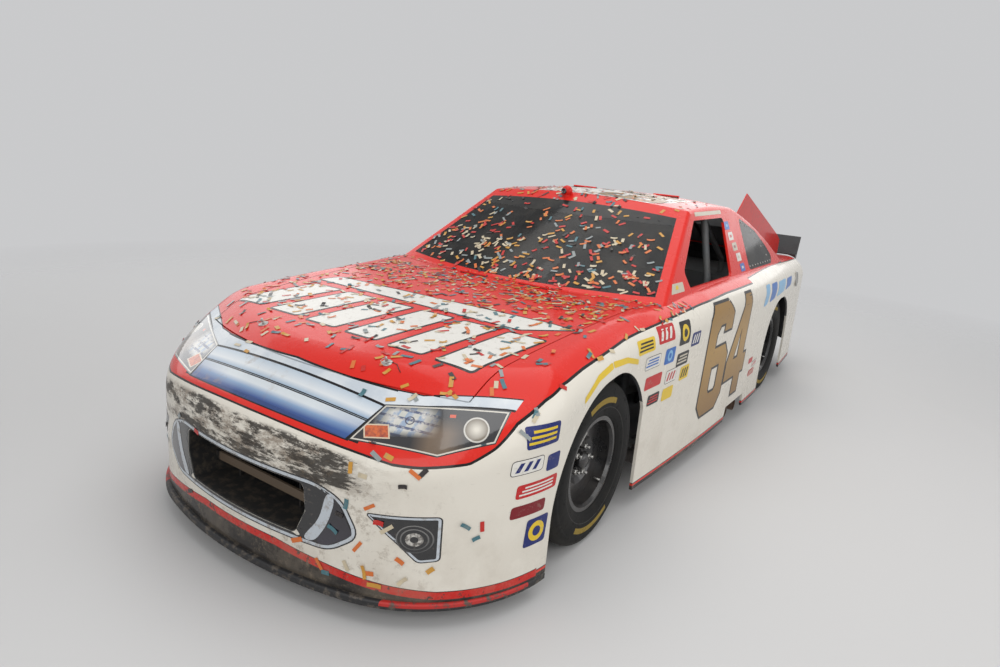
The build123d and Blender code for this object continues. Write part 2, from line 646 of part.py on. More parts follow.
# Wheels: centres as name, side, axle and half track
WHEEL_X = TRACK / 2
WHEELS = [("front_left", 1, FRONT_AXLE_Y), ("front_right", -1, FRONT_AXLE_Y),
          ("rear_left", 1, REAR_AXLE_Y), ("rear_right", -1, REAR_AXLE_Y)]
FLANGE_T = 8
FLANGE_H = 14
SPINDLE_R = 26
DISC_OFFSET = 40
with BuildPart() as tyre_master:
    with BuildSketch(Plane.XY):
        with BuildLine():
            half = TYRE_W / 2
            bead = RIM_W / 2 - FLANGE_T
            flange_top = RIM_R + FLANGE_H + SEAT_GAP
            tread = Line((-half + TYRE_SHOULDER_R + 10, TYRE_R), (half - TYRE_SHOULDER_R - 10, TYRE_R))
            shoulder_out = ThreePointArc(tread @ 1, (half - 16, TYRE_R - 12), (half - 4, TYRE_R - 44))
            wall_out = ThreePointArc(shoulder_out @ 1, (half, 275), (half - 10, RIM_R + 30))
            bead_out = Polyline(wall_out @ 1, (RIM_W / 2 + 2, flange_top), (RIM_W / 2 - FLANGE_T, flange_top),
                                (bead, RIM_R))
            seat = Line(bead_out @ 1, (-bead, RIM_R))
            bead_in = Polyline(seat @ 1, (-RIM_W / 2 + FLANGE_T, flange_top), (-RIM_W / 2 - 2, flange_top),
                               (-half + 10, RIM_R + 30))
            wall_in = ThreePointArc(bead_in @ 1, (-half, 275), (-half + 4, TYRE_R - 44))
            ThreePointArc(wall_in @ 1, (-half + 16, TYRE_R - 12), tread @ 0)
        make_face()
        with BuildLine():
            lining = 12
            inner = Line((-bead + 20, RIM_R), (bead - 20, RIM_R))
            rise_out = Line(inner @ 1, (half - 18, 260))
            cap_out = Line(rise_out @ 1, (half - 40, TYRE_R - lining - 6))
            cap = Line(cap_out @ 1, (-half + 40, TYRE_R - lining - 6))
            cap_in = Line(cap @ 1, (-half + 18, 260))
            Line(cap_in @ 1, inner @ 0)
        make_face(mode=Mode.SUBTRACT)
    revolve(axis=Axis.X, revolution_arc=360)
with BuildPart() as rim_master:
    with BuildSketch(Plane.XY):
        with BuildLine():
            w = RIM_W / 2
            Polyline((w, RIM_R + FLANGE_H), (w - FLANGE_T, RIM_R + FLANGE_H), (w - FLANGE_T, RIM_R),
                     (-w + FLANGE_T, RIM_R), (-w + FLANGE_T, RIM_R + FLANGE_H),
                     (-w, RIM_R + FLANGE_H), (-w, RIM_R - 4), (-w + 14, RIM_R - RIM_WALL - 3),
                     (DISC_OFFSET - 40, RIM_R - RIM_WALL - 3), (DISC_OFFSET + 14, HUB_R + 62),
                     (DISC_OFFSET + 20, HUB_R + 30), (DISC_OFFSET, HUB_R), (DISC_OFFSET - 70, HUB_R - 10),
                     (DISC_OFFSET - 80, HUB_R + 4), (DISC_OFFSET - 80, BRAKE_R), (DISC_OFFSET - 110, BRAKE_R),
                     (DISC_OFFSET - 110, SPINDLE_R + SEAT_GAP), (DISC_OFFSET + 24, SPINDLE_R + SEAT_GAP),
                     (DISC_OFFSET + 24, 40), (DISC_OFFSET + 10, 42), (DISC_OFFSET + 10, HUB_R + 4),
                     (DISC_OFFSET + 30, HUB_R + 26), (DISC_OFFSET + 26, HUB_R + 66), (w - 60, RIM_R - RIM_WALL - 3),
                     (w - 14, RIM_R - RIM_WALL - 3), (w, RIM_R - 4), close=True)
        make_face()
    revolve(axis=Axis.X, revolution_arc=360)
    with Locations(Plane.YZ.offset(DISC_OFFSET + 10)):
        with PolarLocations(LUG_PCD / 2, LUG_COUNT):
            Cylinder(15, 26)
for name, side, axle_y in WHEELS:
    place = Pos(side * WHEEL_X, axle_y, TYRE_R)
    if side < 0:
        place = place * Rot(0, 0, 180)
    for master, kind in ((tyre_master, "tyre"), (rim_master, "rim")):
        with BuildPart() as wheel_piece:
            add(place * master.part)
        save(wheel_piece, f"{kind}_{name}")

# Front knuckles: upright with its spindle, two ears for the ball studs and a steering arm
UPRIGHT_X = 651
UPRIGHT_T = 30
SPINDLE_END = DISC_OFFSET + 20
EAR_LOW_Z = 244
EAR_HIGH_Z = 460
EAR_T = 20
BALL_DROP = 38
STUD_R = 10
STEER_ARM_X = 572
ROTOR_IN_X = WHEEL_X + DISC_OFFSET - 110
ROTOR_OUT_X = WHEEL_X + DISC_OFFSET - 80
CALIPER_R = 172
CALIPER_WALL = 12
with BuildPart() as caliper:
    with BuildSketch(Plane.YZ.offset(ROTOR_IN_X - GAP - CALIPER_WALL)):
        with BuildLine():
            outer = CenterArc((0, 0), CALIPER_R, -24, 48)
            inner = CenterArc((0, 0), 100, -24, 48)
            Line(outer @ 0, inner @ 0)
            Line(outer @ 1, inner @ 1)
        make_face()
    extrude(amount=ROTOR_OUT_X - ROTOR_IN_X + 2 * (GAP + CALIPER_WALL))
    with Locations(Pos((ROTOR_IN_X + ROTOR_OUT_X) / 2, 0, 0) * Rot(0, 90, 0)):
        Cylinder(BRAKE_R + GAP, ROTOR_OUT_X - ROTOR_IN_X + 2 * GAP, mode=Mode.SUBTRACT)
    bracket_x = ROTOR_IN_X - GAP - CALIPER_WALL / 2
    with Locations((bracket_x, 66, 0)):
        Box(CALIPER_WALL, 80, 50)
calipers = {1: caliper.part, -1: mirror(caliper.part, about=Plane.YZ)}

for name, side in (("knuckle_left", 1), ("knuckle_right", -1)):
    with BuildPart() as knuckle:
        upright_x = side * (UPRIGHT_X + UPRIGHT_T / 2)
        with Locations((upright_x, FRONT_AXLE_Y, TYRE_R)):
            Box(UPRIGHT_T, 70, EAR_HIGH_Z - EAR_LOW_Z + 3 * EAR_T)
        spindle_len = WHEEL_X + SPINDLE_END - UPRIGHT_X
        with Locations(Pos(side * (UPRIGHT_X + spindle_len / 2), FRONT_AXLE_Y, TYRE_R) * Rot(0, 90, 0)):
            Cylinder(SPINDLE_R, spindle_len)
        for z in (EAR_LOW_Z, EAR_HIGH_Z):
            with Locations((side * (KINGPIN_X + UPRIGHT_X) / 2, FRONT_AXLE_Y, z)):
                Box(UPRIGHT_X - KINGPIN_X, 48, EAR_T)
            with Locations((side * KINGPIN_X, FRONT_AXLE_Y, z)):
                Cylinder(24, EAR_T)
                Cylinder(STUD_R + SEAT_GAP, EAR_T, mode=Mode.SUBTRACT)
        arm_z = EAR_LOW_Z + 50
        with Locations((side * (STEER_ARM_X + UPRIGHT_X) / 2, FRONT_AXLE_Y, arm_z)):
            Box(UPRIGHT_X - STEER_ARM_X, 40, EAR_T)
        with Locations((side * STEER_ARM_X, FRONT_AXLE_Y + 65, arm_z)):
            Box(26, 170, EAR_T)
        add(Pos(0, FRONT_AXLE_Y, TYRE_R) * calipers[side])
    save(knuckle, name)

# Frame sizes: side rails, clips for the engine and the fuel cell, and cross members, in box tube
RAIL_X = 720
RAIL_W = 75
RAIL_H = 100
RAIL_Z = 165
RAIL_FRONT_Y = -950
RAIL_REAR_Y = 960
CLIP_FRONT_X = 370
CLIP_FRONT_Z = 300
CLIP_REAR_X = 430
CLIP_REAR_Z = 560
CLIP_REAR_END_Y = 2330
CLIP_W = 60
CLIP_H = 80
CROSS_W = 50
TRAY_Z = 862
FLOOR_Z = 150
SHEET_T = 4
STRUT_R = 14
STRUT_Z = 200
ARM_SPREAD = 150
ARM_LOW_Z = 268
ARM_HIGH_Z = 490
TOWER_W = 50
with BuildPart() as frame_rails:
    for side in (1, -1):
        with Locations((side * RAIL_X, (RAIL_FRONT_Y + RAIL_REAR_Y) / 2, RAIL_Z)):
            Box(RAIL_W, RAIL_REAR_Y - RAIL_FRONT_Y, RAIL_H)
        with Locations((side * CLIP_FRONT_X, (RAIL_FRONT_Y + NOSE_Y) / 2, CLIP_FRONT_Z)):
            Box(CLIP_W, RAIL_FRONT_Y + CROSS_W - NOSE_Y, CLIP_H)
        with Locations((side * CLIP_REAR_X, (RAIL_REAR_Y + TAIL_Y) / 2, CLIP_REAR_Z)):
            Box(CLIP_W, TAIL_Y - RAIL_REAR_Y + 20, CLIP_H)
        add(block(*sorted((side * (CLIP_FRONT_X - CLIP_W / 2), side * (CLIP_FRONT_X + CLIP_W / 2))), RAIL_FRONT_Y,
                  RAIL_FRONT_Y + CROSS_W, RAIL_Z + CROSS_W / 2, CLIP_FRONT_Z))
        add(block(*sorted((side * (CLIP_REAR_X - CLIP_W / 2), side * (CLIP_REAR_X + CLIP_W / 2))), RAIL_REAR_Y - 10,
                  RAIL_REAR_Y + 40, RAIL_Z + CROSS_W / 2, CLIP_REAR_Z))
        for dy in (-ARM_SPREAD, ARM_SPREAD):
            add(block(*sorted((side * (CLIP_FRONT_X - CLIP_W / 2), side * (CLIP_FRONT_X + CLIP_W / 2))),
                      FRONT_AXLE_Y + dy - TOWER_W / 2, FRONT_AXLE_Y + dy + TOWER_W / 2, CLIP_FRONT_Z, ARM_HIGH_Z + 30))
    add(body_outer, mode=Mode.INTERSECT)
    add(lower_shell, mode=Mode.SUBTRACT)
    add(block(-(CLIP_FRONT_X + CLIP_W), CLIP_FRONT_X + CLIP_W, NOSE_Y, DUCT_REAR_Y + 10, 0, 500), mode=Mode.SUBTRACT)
save(frame_rails, "frame_rails")

# Cross members between the rails, and struts out to the skirts
with BuildPart() as cross_members:
    for y in (RAIL_FRONT_Y, RAIL_REAR_Y - CROSS_W):
        add(block(-RAIL_X, RAIL_X, y, y + CROSS_W, RAIL_Z - CROSS_W / 2, RAIL_Z + CROSS_W / 2))
    for x in (CLIP_REAR_X, -CLIP_REAR_X):
        add(block(x - CLIP_W / 2, x + CLIP_W / 2, RAIL_REAR_Y - 10, RAIL_REAR_Y + 40, RAIL_Z - CROSS_W / 2,
                  RAIL_Z + CROSS_W / 2))
    for side in (1, -1):
        for y in (-760, 0, 620):
            with Locations(Pos(side * 850, y, STRUT_Z) * Rot(0, 90, 0)):
                Cylinder(STRUT_R, 260)
    add(frame_rails.part, mode=Mode.SUBTRACT)
    add(body_outer, mode=Mode.INTERSECT)
    add(lower_shell, mode=Mode.SUBTRACT)
save(cross_members, "cross_members")

# Front suspension on each side: two wishbones with their ball studs
ARM_TUBE_R = 14
with BuildPart() as front_suspension:
    for side in (1, -1):
        for ear_z, away, pivot_z in ((EAR_LOW_Z, -1, ARM_LOW_Z), (EAR_HIGH_Z, 1, ARM_HIGH_Z)):
            ball_z = ear_z + away * BALL_DROP
            for dy in (-ARM_SPREAD, ARM_SPREAD):
                with BuildLine():
                    arm = Line((side * (CLIP_FRONT_X + CLIP_W / 2), FRONT_AXLE_Y + dy, pivot_z),
                               (side * KINGPIN_X, FRONT_AXLE_Y, ball_z))
                with BuildSketch(Plane(origin=arm @ 0, z_dir=arm % 0)):
                    Circle(ARM_TUBE_R)
                sweep(path=arm.edge())
            with Locations((side * KINGPIN_X, FRONT_AXLE_Y, (ear_z + ball_z) / 2)):
                Cylinder(STUD_R, BALL_DROP + EAR_T)
            with Locations((side * KINGPIN_X, FRONT_AXLE_Y, ball_z)):
                Sphere(ARM_TUBE_R + 2)
        add(frame_rails.part, mode=Mode.SUBTRACT)
save(front_suspension, "front_suspension")

# Rear axle housing, with its centre case, spindles, brake calipers and spring posts
AXLE_TUBE_R = 38
AXLE_CASE_R = 130
AXLE_FLANGE_X = ROTOR_IN_X - GAP - CALIPER_WALL
POST_R = 22
with BuildPart() as rear_axle:
    with Locations(Pos(0, REAR_AXLE_Y, TYRE_R) * Rot(0, 90, 0)):
        Cylinder(AXLE_TUBE_R, 2 * (AXLE_FLANGE_X + CALIPER_WALL))
        Cylinder(SPINDLE_R, 2 * (WHEEL_X + SPINDLE_END))
    with Locations((0, REAR_AXLE_Y, TYRE_R)):
        Sphere(AXLE_CASE_R)
    with Locations(Pos(0, REAR_AXLE_Y - AXLE_CASE_R, TYRE_R) * Rot(90, 0, 0)):
        Cylinder(52, 120)
    for side in (1, -1):
        with Locations((side * CLIP_REAR_X, REAR_AXLE_Y, (TYRE_R + CLIP_REAR_Z - CLIP_H / 2) / 2)):
            Cylinder(POST_R, CLIP_REAR_Z - CLIP_H / 2 - TYRE_R)
        add(Pos(0, REAR_AXLE_Y, TYRE_R) * calipers[side])
save(rear_axle, "rear_axle")

# Rear suspension: two trailing arms from the cross member and a track bar behind the axle
ARM_X = 330
TRACK_BAR_Y = 1500
with BuildPart() as rear_suspension:
    for side in (1, -1):
        with BuildLine():
            arm = Line((side * ARM_X, RAIL_REAR_Y, RAIL_Z), (side * ARM_X, REAR_AXLE_Y, TYRE_R - AXLE_TUBE_R - 20))
        with BuildSketch(Plane(origin=arm @ 0, z_dir=arm % 0)):
            Rectangle(40, 60)
        sweep(path=arm.edge())
        with Locations((side * ARM_X, REAR_AXLE_Y, TYRE_R - AXLE_TUBE_R - 20)):
            Box(60, 90, 60)
    with BuildLine():
        bar = Line((-(CLIP_REAR_X - CLIP_W / 2), TRACK_BAR_Y, CLIP_REAR_Z - 20), (ARM_X, TRACK_BAR_Y, TYRE_R))
    with BuildSketch(Plane(origin=bar @ 0, z_dir=bar % 0)):
        Circle(STRUT_R)
    sweep(path=bar.edge())
    add(block(ARM_X - 20, ARM_X + 20, REAR_AXLE_Y, TRACK_BAR_Y + 25, TYRE_R - 25, TYRE_R + 25))
    add(rear_axle.part, mode=Mode.SUBTRACT)
    add(frame_rails.part + cross_members.part, mode=Mode.SUBTRACT)
save(rear_suspension, "rear_suspension")

# Driveshaft from the gearbox to the axle case
GEARBOX_REAR_Y = -900
GEARBOX_Z = 430
SHAFT_R = 38
with BuildPart() as driveshaft:
    with BuildLine():
        shaft = Line((0, GEARBOX_REAR_Y, GEARBOX_Z), (0, REAR_AXLE_Y - AXLE_CASE_R - 60, TYRE_R))
    with BuildSketch(Plane(origin=shaft @ 0, z_dir=shaft % 0)):
        Circle(SHAFT_R)
    sweep(path=shaft.edge())
    for end in (0.02, 0.98):
        with Locations(shaft @ end):
            Sphere(SHAFT_R + 14)
    add(block(-100, 100, GEARBOX_REAR_Y - 100, GEARBOX_REAR_Y, 200, 600), mode=Mode.SUBTRACT)
    add(rear_axle.part, mode=Mode.SUBTRACT)
save(driveshaft, "driveshaft")

# Floor, firewall, rear bulkhead and tray, folded from one sheet, with a tunnel over the driveshaft
FLOOR_HALF = RAIL_X - RAIL_W / 2
FLOOR_FOLDS = [(-845, 875), (-890, 470), (-800, FLOOR_Z), (880, FLOOR_Z), (940, TRAY_Z)]
TRAY_REAR_Y = 1700
TUNNEL_HALF = 115
TUNNEL_Z = 520
TUNNEL_R = 90
with BuildPart() as tunnel_block:
    with BuildSketch(Plane.XZ.offset(-LENGTH / 4)) as mouth:
        Rectangle(2 * TUNNEL_HALF, TUNNEL_Z, align=(Align.CENTER, Align.MIN))
        fillet(mouth.vertices().group_by(Axis.Z)[-1], radius=TUNNEL_R)
        bore_shape = offset(mouth.sketch, amount=-SHEET_T, mode=Mode.PRIVATE)
    extrude(amount=LENGTH / 2)
with BuildPart() as tunnel_bore:
    with BuildSketch(Plane.XZ.offset(-LENGTH / 4)):
        add(bore_shape)
        with Locations((0, TUNNEL_HALF / 2)):
            Rectangle(2 * (TUNNEL_HALF - SHEET_T), TUNNEL_HALF)
    extrude(amount=LENGTH / 2)
with BuildPart() as cabin_room:
    with BuildSketch(Plane.YZ.offset(-TUNNEL_HALF)):
        with BuildLine():
            Polyline(*FLOOR_FOLDS, close=True)
        make_face()
    extrude(amount=2 * TUNNEL_HALF)
with BuildPart() as floor_pan:
    with BuildSketch(Plane.YZ.offset(-FLOOR_HALF)):
        with BuildLine():
            Polyline(*FLOOR_FOLDS, (TRAY_REAR_Y, TRAY_Z))
        trace(line_width=SHEET_T)
    extrude(amount=2 * FLOOR_HALF)
    add(tunnel_block.part & cabin_room.part)
    add(tunnel_bore.part, mode=Mode.SUBTRACT)
save(floor_pan, "floor_pan")

# Exhaust: two pipes out of the left rail, along the skirt and out through its cut-out
PIPE_R = 36
PIPE_T = 3
PIPE_Z = 148
PIPE_END_X = 958
PIPES = [(885, -820, 210, 60), (805, -690, 390, 40)]
with BuildPart() as exhaust:
    for x, start_y, end_y, bend_r in PIPES:
        with BuildLine() as path:
            FilletPolyline((RAIL_X + RAIL_W / 2, start_y, PIPE_Z), (x, start_y, PIPE_Z), (x, end_y, PIPE_Z),
                           (PIPE_END_X, end_y, PIPE_Z), radius=bend_r)
        with BuildSketch(Plane(origin=path.line @ 0, z_dir=path.line % 0)):
            Circle(PIPE_R)
            Circle(PIPE_R - PIPE_T, mode=Mode.SUBTRACT)
        sweep(path=path.line)
        add(block(x - 12, x + 12, -8, 8, PIPE_Z + PIPE_R - PIPE_T / 2, STRUT_Z))
    add(frame_rails.part + cross_members.part, mode=Mode.SUBTRACT)
save(exhaust, "exhaust")

# Roll cage: main hoop, roof bars, windshield bars, door bars, dash bar and rear braces, welded tube
TUBE_R = 22
BAR_R = 19
HOOP_Y = 480
HOOP_X = 640
ROOF_BAR_X = 560
ROOF_BAR_Z = 1280
WINDSHIELD_FOOT_Y = -640
DASH_BAR_Z = 840
BEND_R = 60
FOOT_Z = FLOOR_Z + SHEET_T / 2
DOOR_BAR_X = 710
DRIVER_X = 340
STEER_Y = -300
STEER_Z = 800
STEER_TILT = 18
COLUMN_R = 16
column_z = STEER_Z - (STEER_Y - WINDSHIELD_FOOT_Y) * tan(radians(STEER_TILT))
with BuildPart() as roll_cage:
    routes = [
        (TUBE_R, [(-HOOP_X, HOOP_Y, FOOT_Z), (-HOOP_X, HOOP_Y, 900), (-ROOF_BAR_X, HOOP_Y, ROOF_BAR_Z),
                  (ROOF_BAR_X, HOOP_Y, ROOF_BAR_Z), (HOOP_X, HOOP_Y, 900), (HOOP_X, HOOP_Y, FOOT_Z)]),
        (TUBE_R, [(-ROOF_BAR_X, HOOP_Y, ROOF_BAR_Z), (-ROOF_BAR_X, -60, ROOF_BAR_Z),
                  (ROOF_BAR_X, -60, ROOF_BAR_Z), (ROOF_BAR_X, HOOP_Y, ROOF_BAR_Z)]),
        (BAR_R, [(-HOOP_X, WINDSHIELD_FOOT_Y, DASH_BAR_Z), (HOOP_X, WINDSHIELD_FOOT_Y, DASH_BAR_Z)]),
        (BAR_R, [(-ROOF_BAR_X, HOOP_Y, ROOF_BAR_Z - 30), (HOOP_X, HOOP_Y, 300)]),
    ]
    for side in (1, -1):
        routes.append((TUBE_R, [(side * ROOF_BAR_X, -60, ROOF_BAR_Z), (side * HOOP_X, WINDSHIELD_FOOT_Y, 925),
                                (side * HOOP_X, WINDSHIELD_FOOT_Y, FOOT_Z)]))
        for z in (400, 530, 660, 790):
            routes.append((BAR_R, [(side * HOOP_X, WINDSHIELD_FOOT_Y, z), (side * DOOR_BAR_X, -300, z),
                                   (side * DOOR_BAR_X, 200, z), (side * HOOP_X, HOOP_Y, z)]))
        routes.append((BAR_R, [(side * ROOF_BAR_X, HOOP_Y, ROOF_BAR_Z - 20), (side * 520, 1150, 945),
                               (side * 520, 1150, TRAY_Z + SHEET_T / 2)]))
    for radius, route in routes:
        with BuildLine() as path:
            if len(route) == 2:
                Line(*route)
            else:
                FilletPolyline(*route, radius=BEND_R * 0.6)
        with BuildSketch(Plane(origin=path.line @ 0, z_dir=path.line % 0)):
            Circle(radius)
        sweep(path=path.line)
    add(block(DRIVER_X - 12, DRIVER_X + 12, WINDSHIELD_FOOT_Y - 12, WINDSHIELD_FOOT_Y + 12, column_z, DASH_BAR_Z))
    with Locations(Pos(DRIVER_X, WINDSHIELD_FOOT_Y, column_z) * Rot(90 + STEER_TILT, 0, 0)):
        Cylinder(COLUMN_R + 8, 60)
        Cylinder(COLUMN_R + SEAT_GAP, 100, mode=Mode.SUBTRACT)
save(roll_cage, "roll_cage")

# Driver's seat, on the left
SEAT_HALF = 210
with BuildPart() as seat:
    with BuildSketch(Plane.YZ.offset(DRIVER_X - SEAT_HALF)):
        with BuildLine():
            Polyline((-150, FOOT_Z), (-150, 380), (-140, 400), (130, 350), (250, 1060), (330, 1060), (280, 300),
                     (280, FOOT_Z), close=True)
        make_face()
    extrude(amount=2 * SEAT_HALF)
save(seat, "seat")

# Dashboard hooked over the dash bar of the cage
with BuildPart() as dashboard:
    with BuildSketch(Plane.YZ.offset(-(ROOF_BAR_X + 20))):
        with BuildLine():
            hook_z = DASH_BAR_Z + BAR_R + SEAT_GAP
            Polyline((WINDSHIELD_FOOT_Y - 20, hook_z), (WINDSHIELD_FOOT_Y - 20, hook_z + 12), (-450, hook_z + 16),
                     (-425, 770), (-437, 770), (-462, hook_z), close=True)
        make_face()
    extrude(amount=2 * (ROOF_BAR_X + 20))
    with Locations(Pos(DRIVER_X, STEER_Y, STEER_Z) * Rot(90 + STEER_TILT, 0, 0)):
        Cylinder(COLUMN_R + GAP, LENGTH / 4, mode=Mode.SUBTRACT)
save(dashboard, "dashboard")

# Steering wheel with its spokes and column
STEER_R = 175
STEER_GRIP_R = 13
column_len = (STEER_Y - WINDSHIELD_FOOT_Y) / cos(radians(STEER_TILT)) + 30
with BuildPart() as steering_wheel:
    wheel_place = Pos(DRIVER_X, STEER_Y, STEER_Z) * Rot(90 + STEER_TILT, 0, 0)
    with Locations(wheel_place):
        Torus(STEER_R, STEER_GRIP_R)
        Cylinder(38, 20)
        with PolarLocations(STEER_R / 2, 3, start_angle=-90):
            Box(STEER_R, 26, 6)
    with Locations(wheel_place * Pos(0, 0, column_len / 2)):
        Cylinder(COLUMN_R, column_len)
save(steering_wheel, "steering_wheel")

# Engine with its gearbox as one plain block, hung between the front clip rails
clip_inner = CLIP_FRONT_X - CLIP_W / 2
with BuildPart() as engine:
    with Locations((0, -1500, 520)):
        Box(560, 640, 480)
    with Locations((0, -1050, 430)):
        Box(300, 300, 300)
    with Locations((0, -1500, CLIP_FRONT_Z)):
        Box(2 * clip_inner, 120, 60)
save(engine, "engine")

# Radiator between the front clip rails
with BuildPart() as radiator:
    with Locations((0, -2120, 420)):
        Box(2 * clip_inner, 70, 400)
save(radiator, "radiator")

# Fuel cell between the rear clip rails
with BuildPart() as fuel_cell:
    with Locations((0, 1950, 500)):
        Box(2 * (CLIP_REAR_X - CLIP_W / 2), 450, 260)
save(fuel_cell, "fuel_cell")
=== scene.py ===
import math
import random
import bmesh
import bpy
from mathutils import Matrix, Vector
from mathutils.bvhtree import BVHTree


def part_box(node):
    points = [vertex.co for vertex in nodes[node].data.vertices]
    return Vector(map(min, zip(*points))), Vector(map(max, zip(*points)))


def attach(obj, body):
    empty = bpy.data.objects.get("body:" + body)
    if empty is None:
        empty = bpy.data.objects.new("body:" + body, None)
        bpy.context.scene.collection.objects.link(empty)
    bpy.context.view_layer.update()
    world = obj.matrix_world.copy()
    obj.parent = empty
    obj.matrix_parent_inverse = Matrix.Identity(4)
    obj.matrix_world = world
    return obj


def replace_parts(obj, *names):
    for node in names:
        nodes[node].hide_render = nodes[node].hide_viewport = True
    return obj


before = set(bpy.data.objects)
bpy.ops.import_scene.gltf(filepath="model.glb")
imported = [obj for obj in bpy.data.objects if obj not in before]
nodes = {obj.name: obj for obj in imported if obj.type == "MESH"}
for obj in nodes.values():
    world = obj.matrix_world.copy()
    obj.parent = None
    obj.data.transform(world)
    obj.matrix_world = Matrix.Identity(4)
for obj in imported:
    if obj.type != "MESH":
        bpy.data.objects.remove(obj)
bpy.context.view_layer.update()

scene = bpy.context.scene
scene.view_settings.view_transform = "Standard"

# The place the photograph was taken from: a hand-held wide lens off the car's left front corner,
# a little above the hood, tipped down and rolled a few degrees.
camera = bpy.data.objects.new("camera", bpy.data.cameras.new("camera"))
scene.collection.objects.link(camera)
camera.data.sensor_width = 36
camera.data.lens = camera.data.sensor_width * 0.6876
camera.data.clip_start = 0.05
yaw, pitch, roll = (math.radians(turn) for turn in (33.306, -14.585, 4.898))
ahead = Vector((-math.sin(yaw) * math.cos(pitch), math.cos(yaw) * math.cos(pitch), math.sin(pitch)))
level = Vector((math.cos(yaw), math.sin(yaw), 0))
upward = level.cross(ahead)
right = math.cos(roll) * level + math.sin(roll) * upward
over = math.cos(roll) * upward - math.sin(roll) * level
facing = Matrix((right, over, -ahead)).transposed().to_4x4()
camera.matrix_world = Matrix.Translation((1.9624, -3.8778, 1.5511)) @ facing
scene.camera = camera

# A plain pale studio floor that fades into the backdrop, and soft light from large panels round the
# car. None of it is part of the car.


class Wire:
    """One output of a shader node, reckoned with as a number is."""

    def __init__(self, tree, socket):
        self.tree, self.socket = tree, socket

    def math(self, operation, *others):
        return self.tree.node("ShaderNodeMath", {"operation": operation}, self, *others)

    def __add__(self, other):
        return self.math("ADD", other)

    def __sub__(self, other):
        return self.math("SUBTRACT", other)

    def __rsub__(self, other):
        return self.math("MULTIPLY_ADD", -1, other)

    def __mul__(self, other):
        return self.math("MULTIPLY", other)

    def __truediv__(self, other):
        return self.math("DIVIDE", other)

    def __gt__(self, other):
        return self.math("GREATER_THAN", other)

    def __lt__(self, other):
        return self.math("LESS_THAN", other)

    def __and__(self, other):
        return self.math("MINIMUM", other)

    def __or__(self, other):
        return self.math("MAXIMUM", other)

    def __abs__(self):
        return self.math("ABSOLUTE")

    __radd__ = __add__
    __rmul__ = __mul__


class Tree:
    """The nodes of one finish, or of the backdrop."""

    def __init__(self, node_tree):
        self.nodes, self.links = node_tree.nodes, node_tree.links

    def node(self, kind, settings=None, *values, out=0, **sockets):
        made = self.nodes.new(kind)
        for key, value in (settings or {}).items():
            if key == "stops":
                ramp = made.color_ramp
                while len(ramp.elements) < len(value):
                    ramp.elements.new(0.5)
                for element, (place, shade) in zip(ramp.elements, value):
                    element.position = place
                    element.color = (*shade, 1) if isinstance(shade, tuple) else (shade, shade, shade, 1)
            else:
                setattr(made, key, value)
        for key, value in [*enumerate(values), *((k.replace("_", " "), v) for k, v in sockets.items())]:
            self.join(value, made.inputs[key])
        return Wire(self, made.outputs[out])

    def join(self, value, socket):
        if isinstance(value, Wire):
            self.links.new(value.socket, socket)
        else:
            socket.default_value = value


class Finish(Tree):
    """One finish: a material, and the colours laid over one another on it."""

    def __init__(self, name, colour=(0.5, 0.5, 0.5), **skin):
        self.material = bpy.data.materials.new(name)
        self.material.use_nodes = True
        super().__init__(self.material.node_tree)
        self.skin = self.nodes["Principled BSDF"]
        self.shade = colour
        self.put(Base_Color=(*colour, 1), **skin)
        self.point = self.node("ShaderNodeTexCoord", out="Object")

    def put(self, **sockets):
        for key, value in sockets.items():
            self.join(value, self.skin.inputs[key.replace("_", " ")])

    def place(self, kind="Object"):
        """The three coordinates of a point on the car, in metres, or of the way its surface faces."""
        apart = self.node("ShaderNodeSeparateXYZ", None, self.node("ShaderNodeTexCoord", out=kind))
        return [Wire(self, apart.socket.node.outputs[axis]) for axis in "XYZ"]

    def mix(self, mask, under, cover):
        """cover over under, where mask is 1."""
        mixer = self.node("ShaderNodeMix", {"data_type": "RGBA"}, out=2)
        sockets = mixer.socket.node.inputs
        for value, socket in ((mask, sockets[0]), (under, sockets[6]), (cover, sockets[7])):
            self.join((*value, 1) if isinstance(value, tuple) else value, socket)
        return mixer

    def cover(self, mask, colour):
        """Lays a colour over those that are there, where mask is 1."""
        self.shade = self.mix(mask, self.shade, colour)
        self.put(Base_Color=self.shade)

    def fade(self, value, low, high):
        """0 at low, 1 at high, straight between them."""
        return self.node("ShaderNodeMapRange", {"clamp": True}, value, low, high, 0, 1)

    def curve(self, value, table):
        """A number that follows a table of value and height, straight between its rows."""
        low, high = table[0][0], table[-1][0]
        stops = [((a - low) / (high - low), b) for a, b in table]
        return self.node("ShaderNodeValToRGB", {"stops": stops}, self.fade(value, low, high))

    def noise(self, scale, detail=3, roughness=0.6, stretch=None):
        point = self.point
        if stretch:
            point = self.node("ShaderNodeMapping", None, Vector=point, Scale=stretch)
        return self.node("ShaderNodeTexNoise", None, Vector=point, Scale=scale, Detail=detail,
                         Roughness=roughness)

    def patches(self, scale, detail, roughness, low, high, stretch=None):
        return self.fade(self.noise(scale, detail, roughness, stretch), low, high)

    def age(self, colour, scale, detail, roughness, low, high, share=1.0, gloss=None):
        """Lets a colour show in patches. gloss is the roughness between them, and what they add."""
        spots = self.patches(scale, detail, roughness, low, high)
        self.cover(spots * share, colour)
        if gloss:
            self.put(Roughness=gloss[0] + spots * gloss[1])
        return spots

    def bump(self, height, strength, distance):
        self.put(Normal=self.node("ShaderNodeBump", None, Height=height, Strength=strength,
                                  Distance=distance))


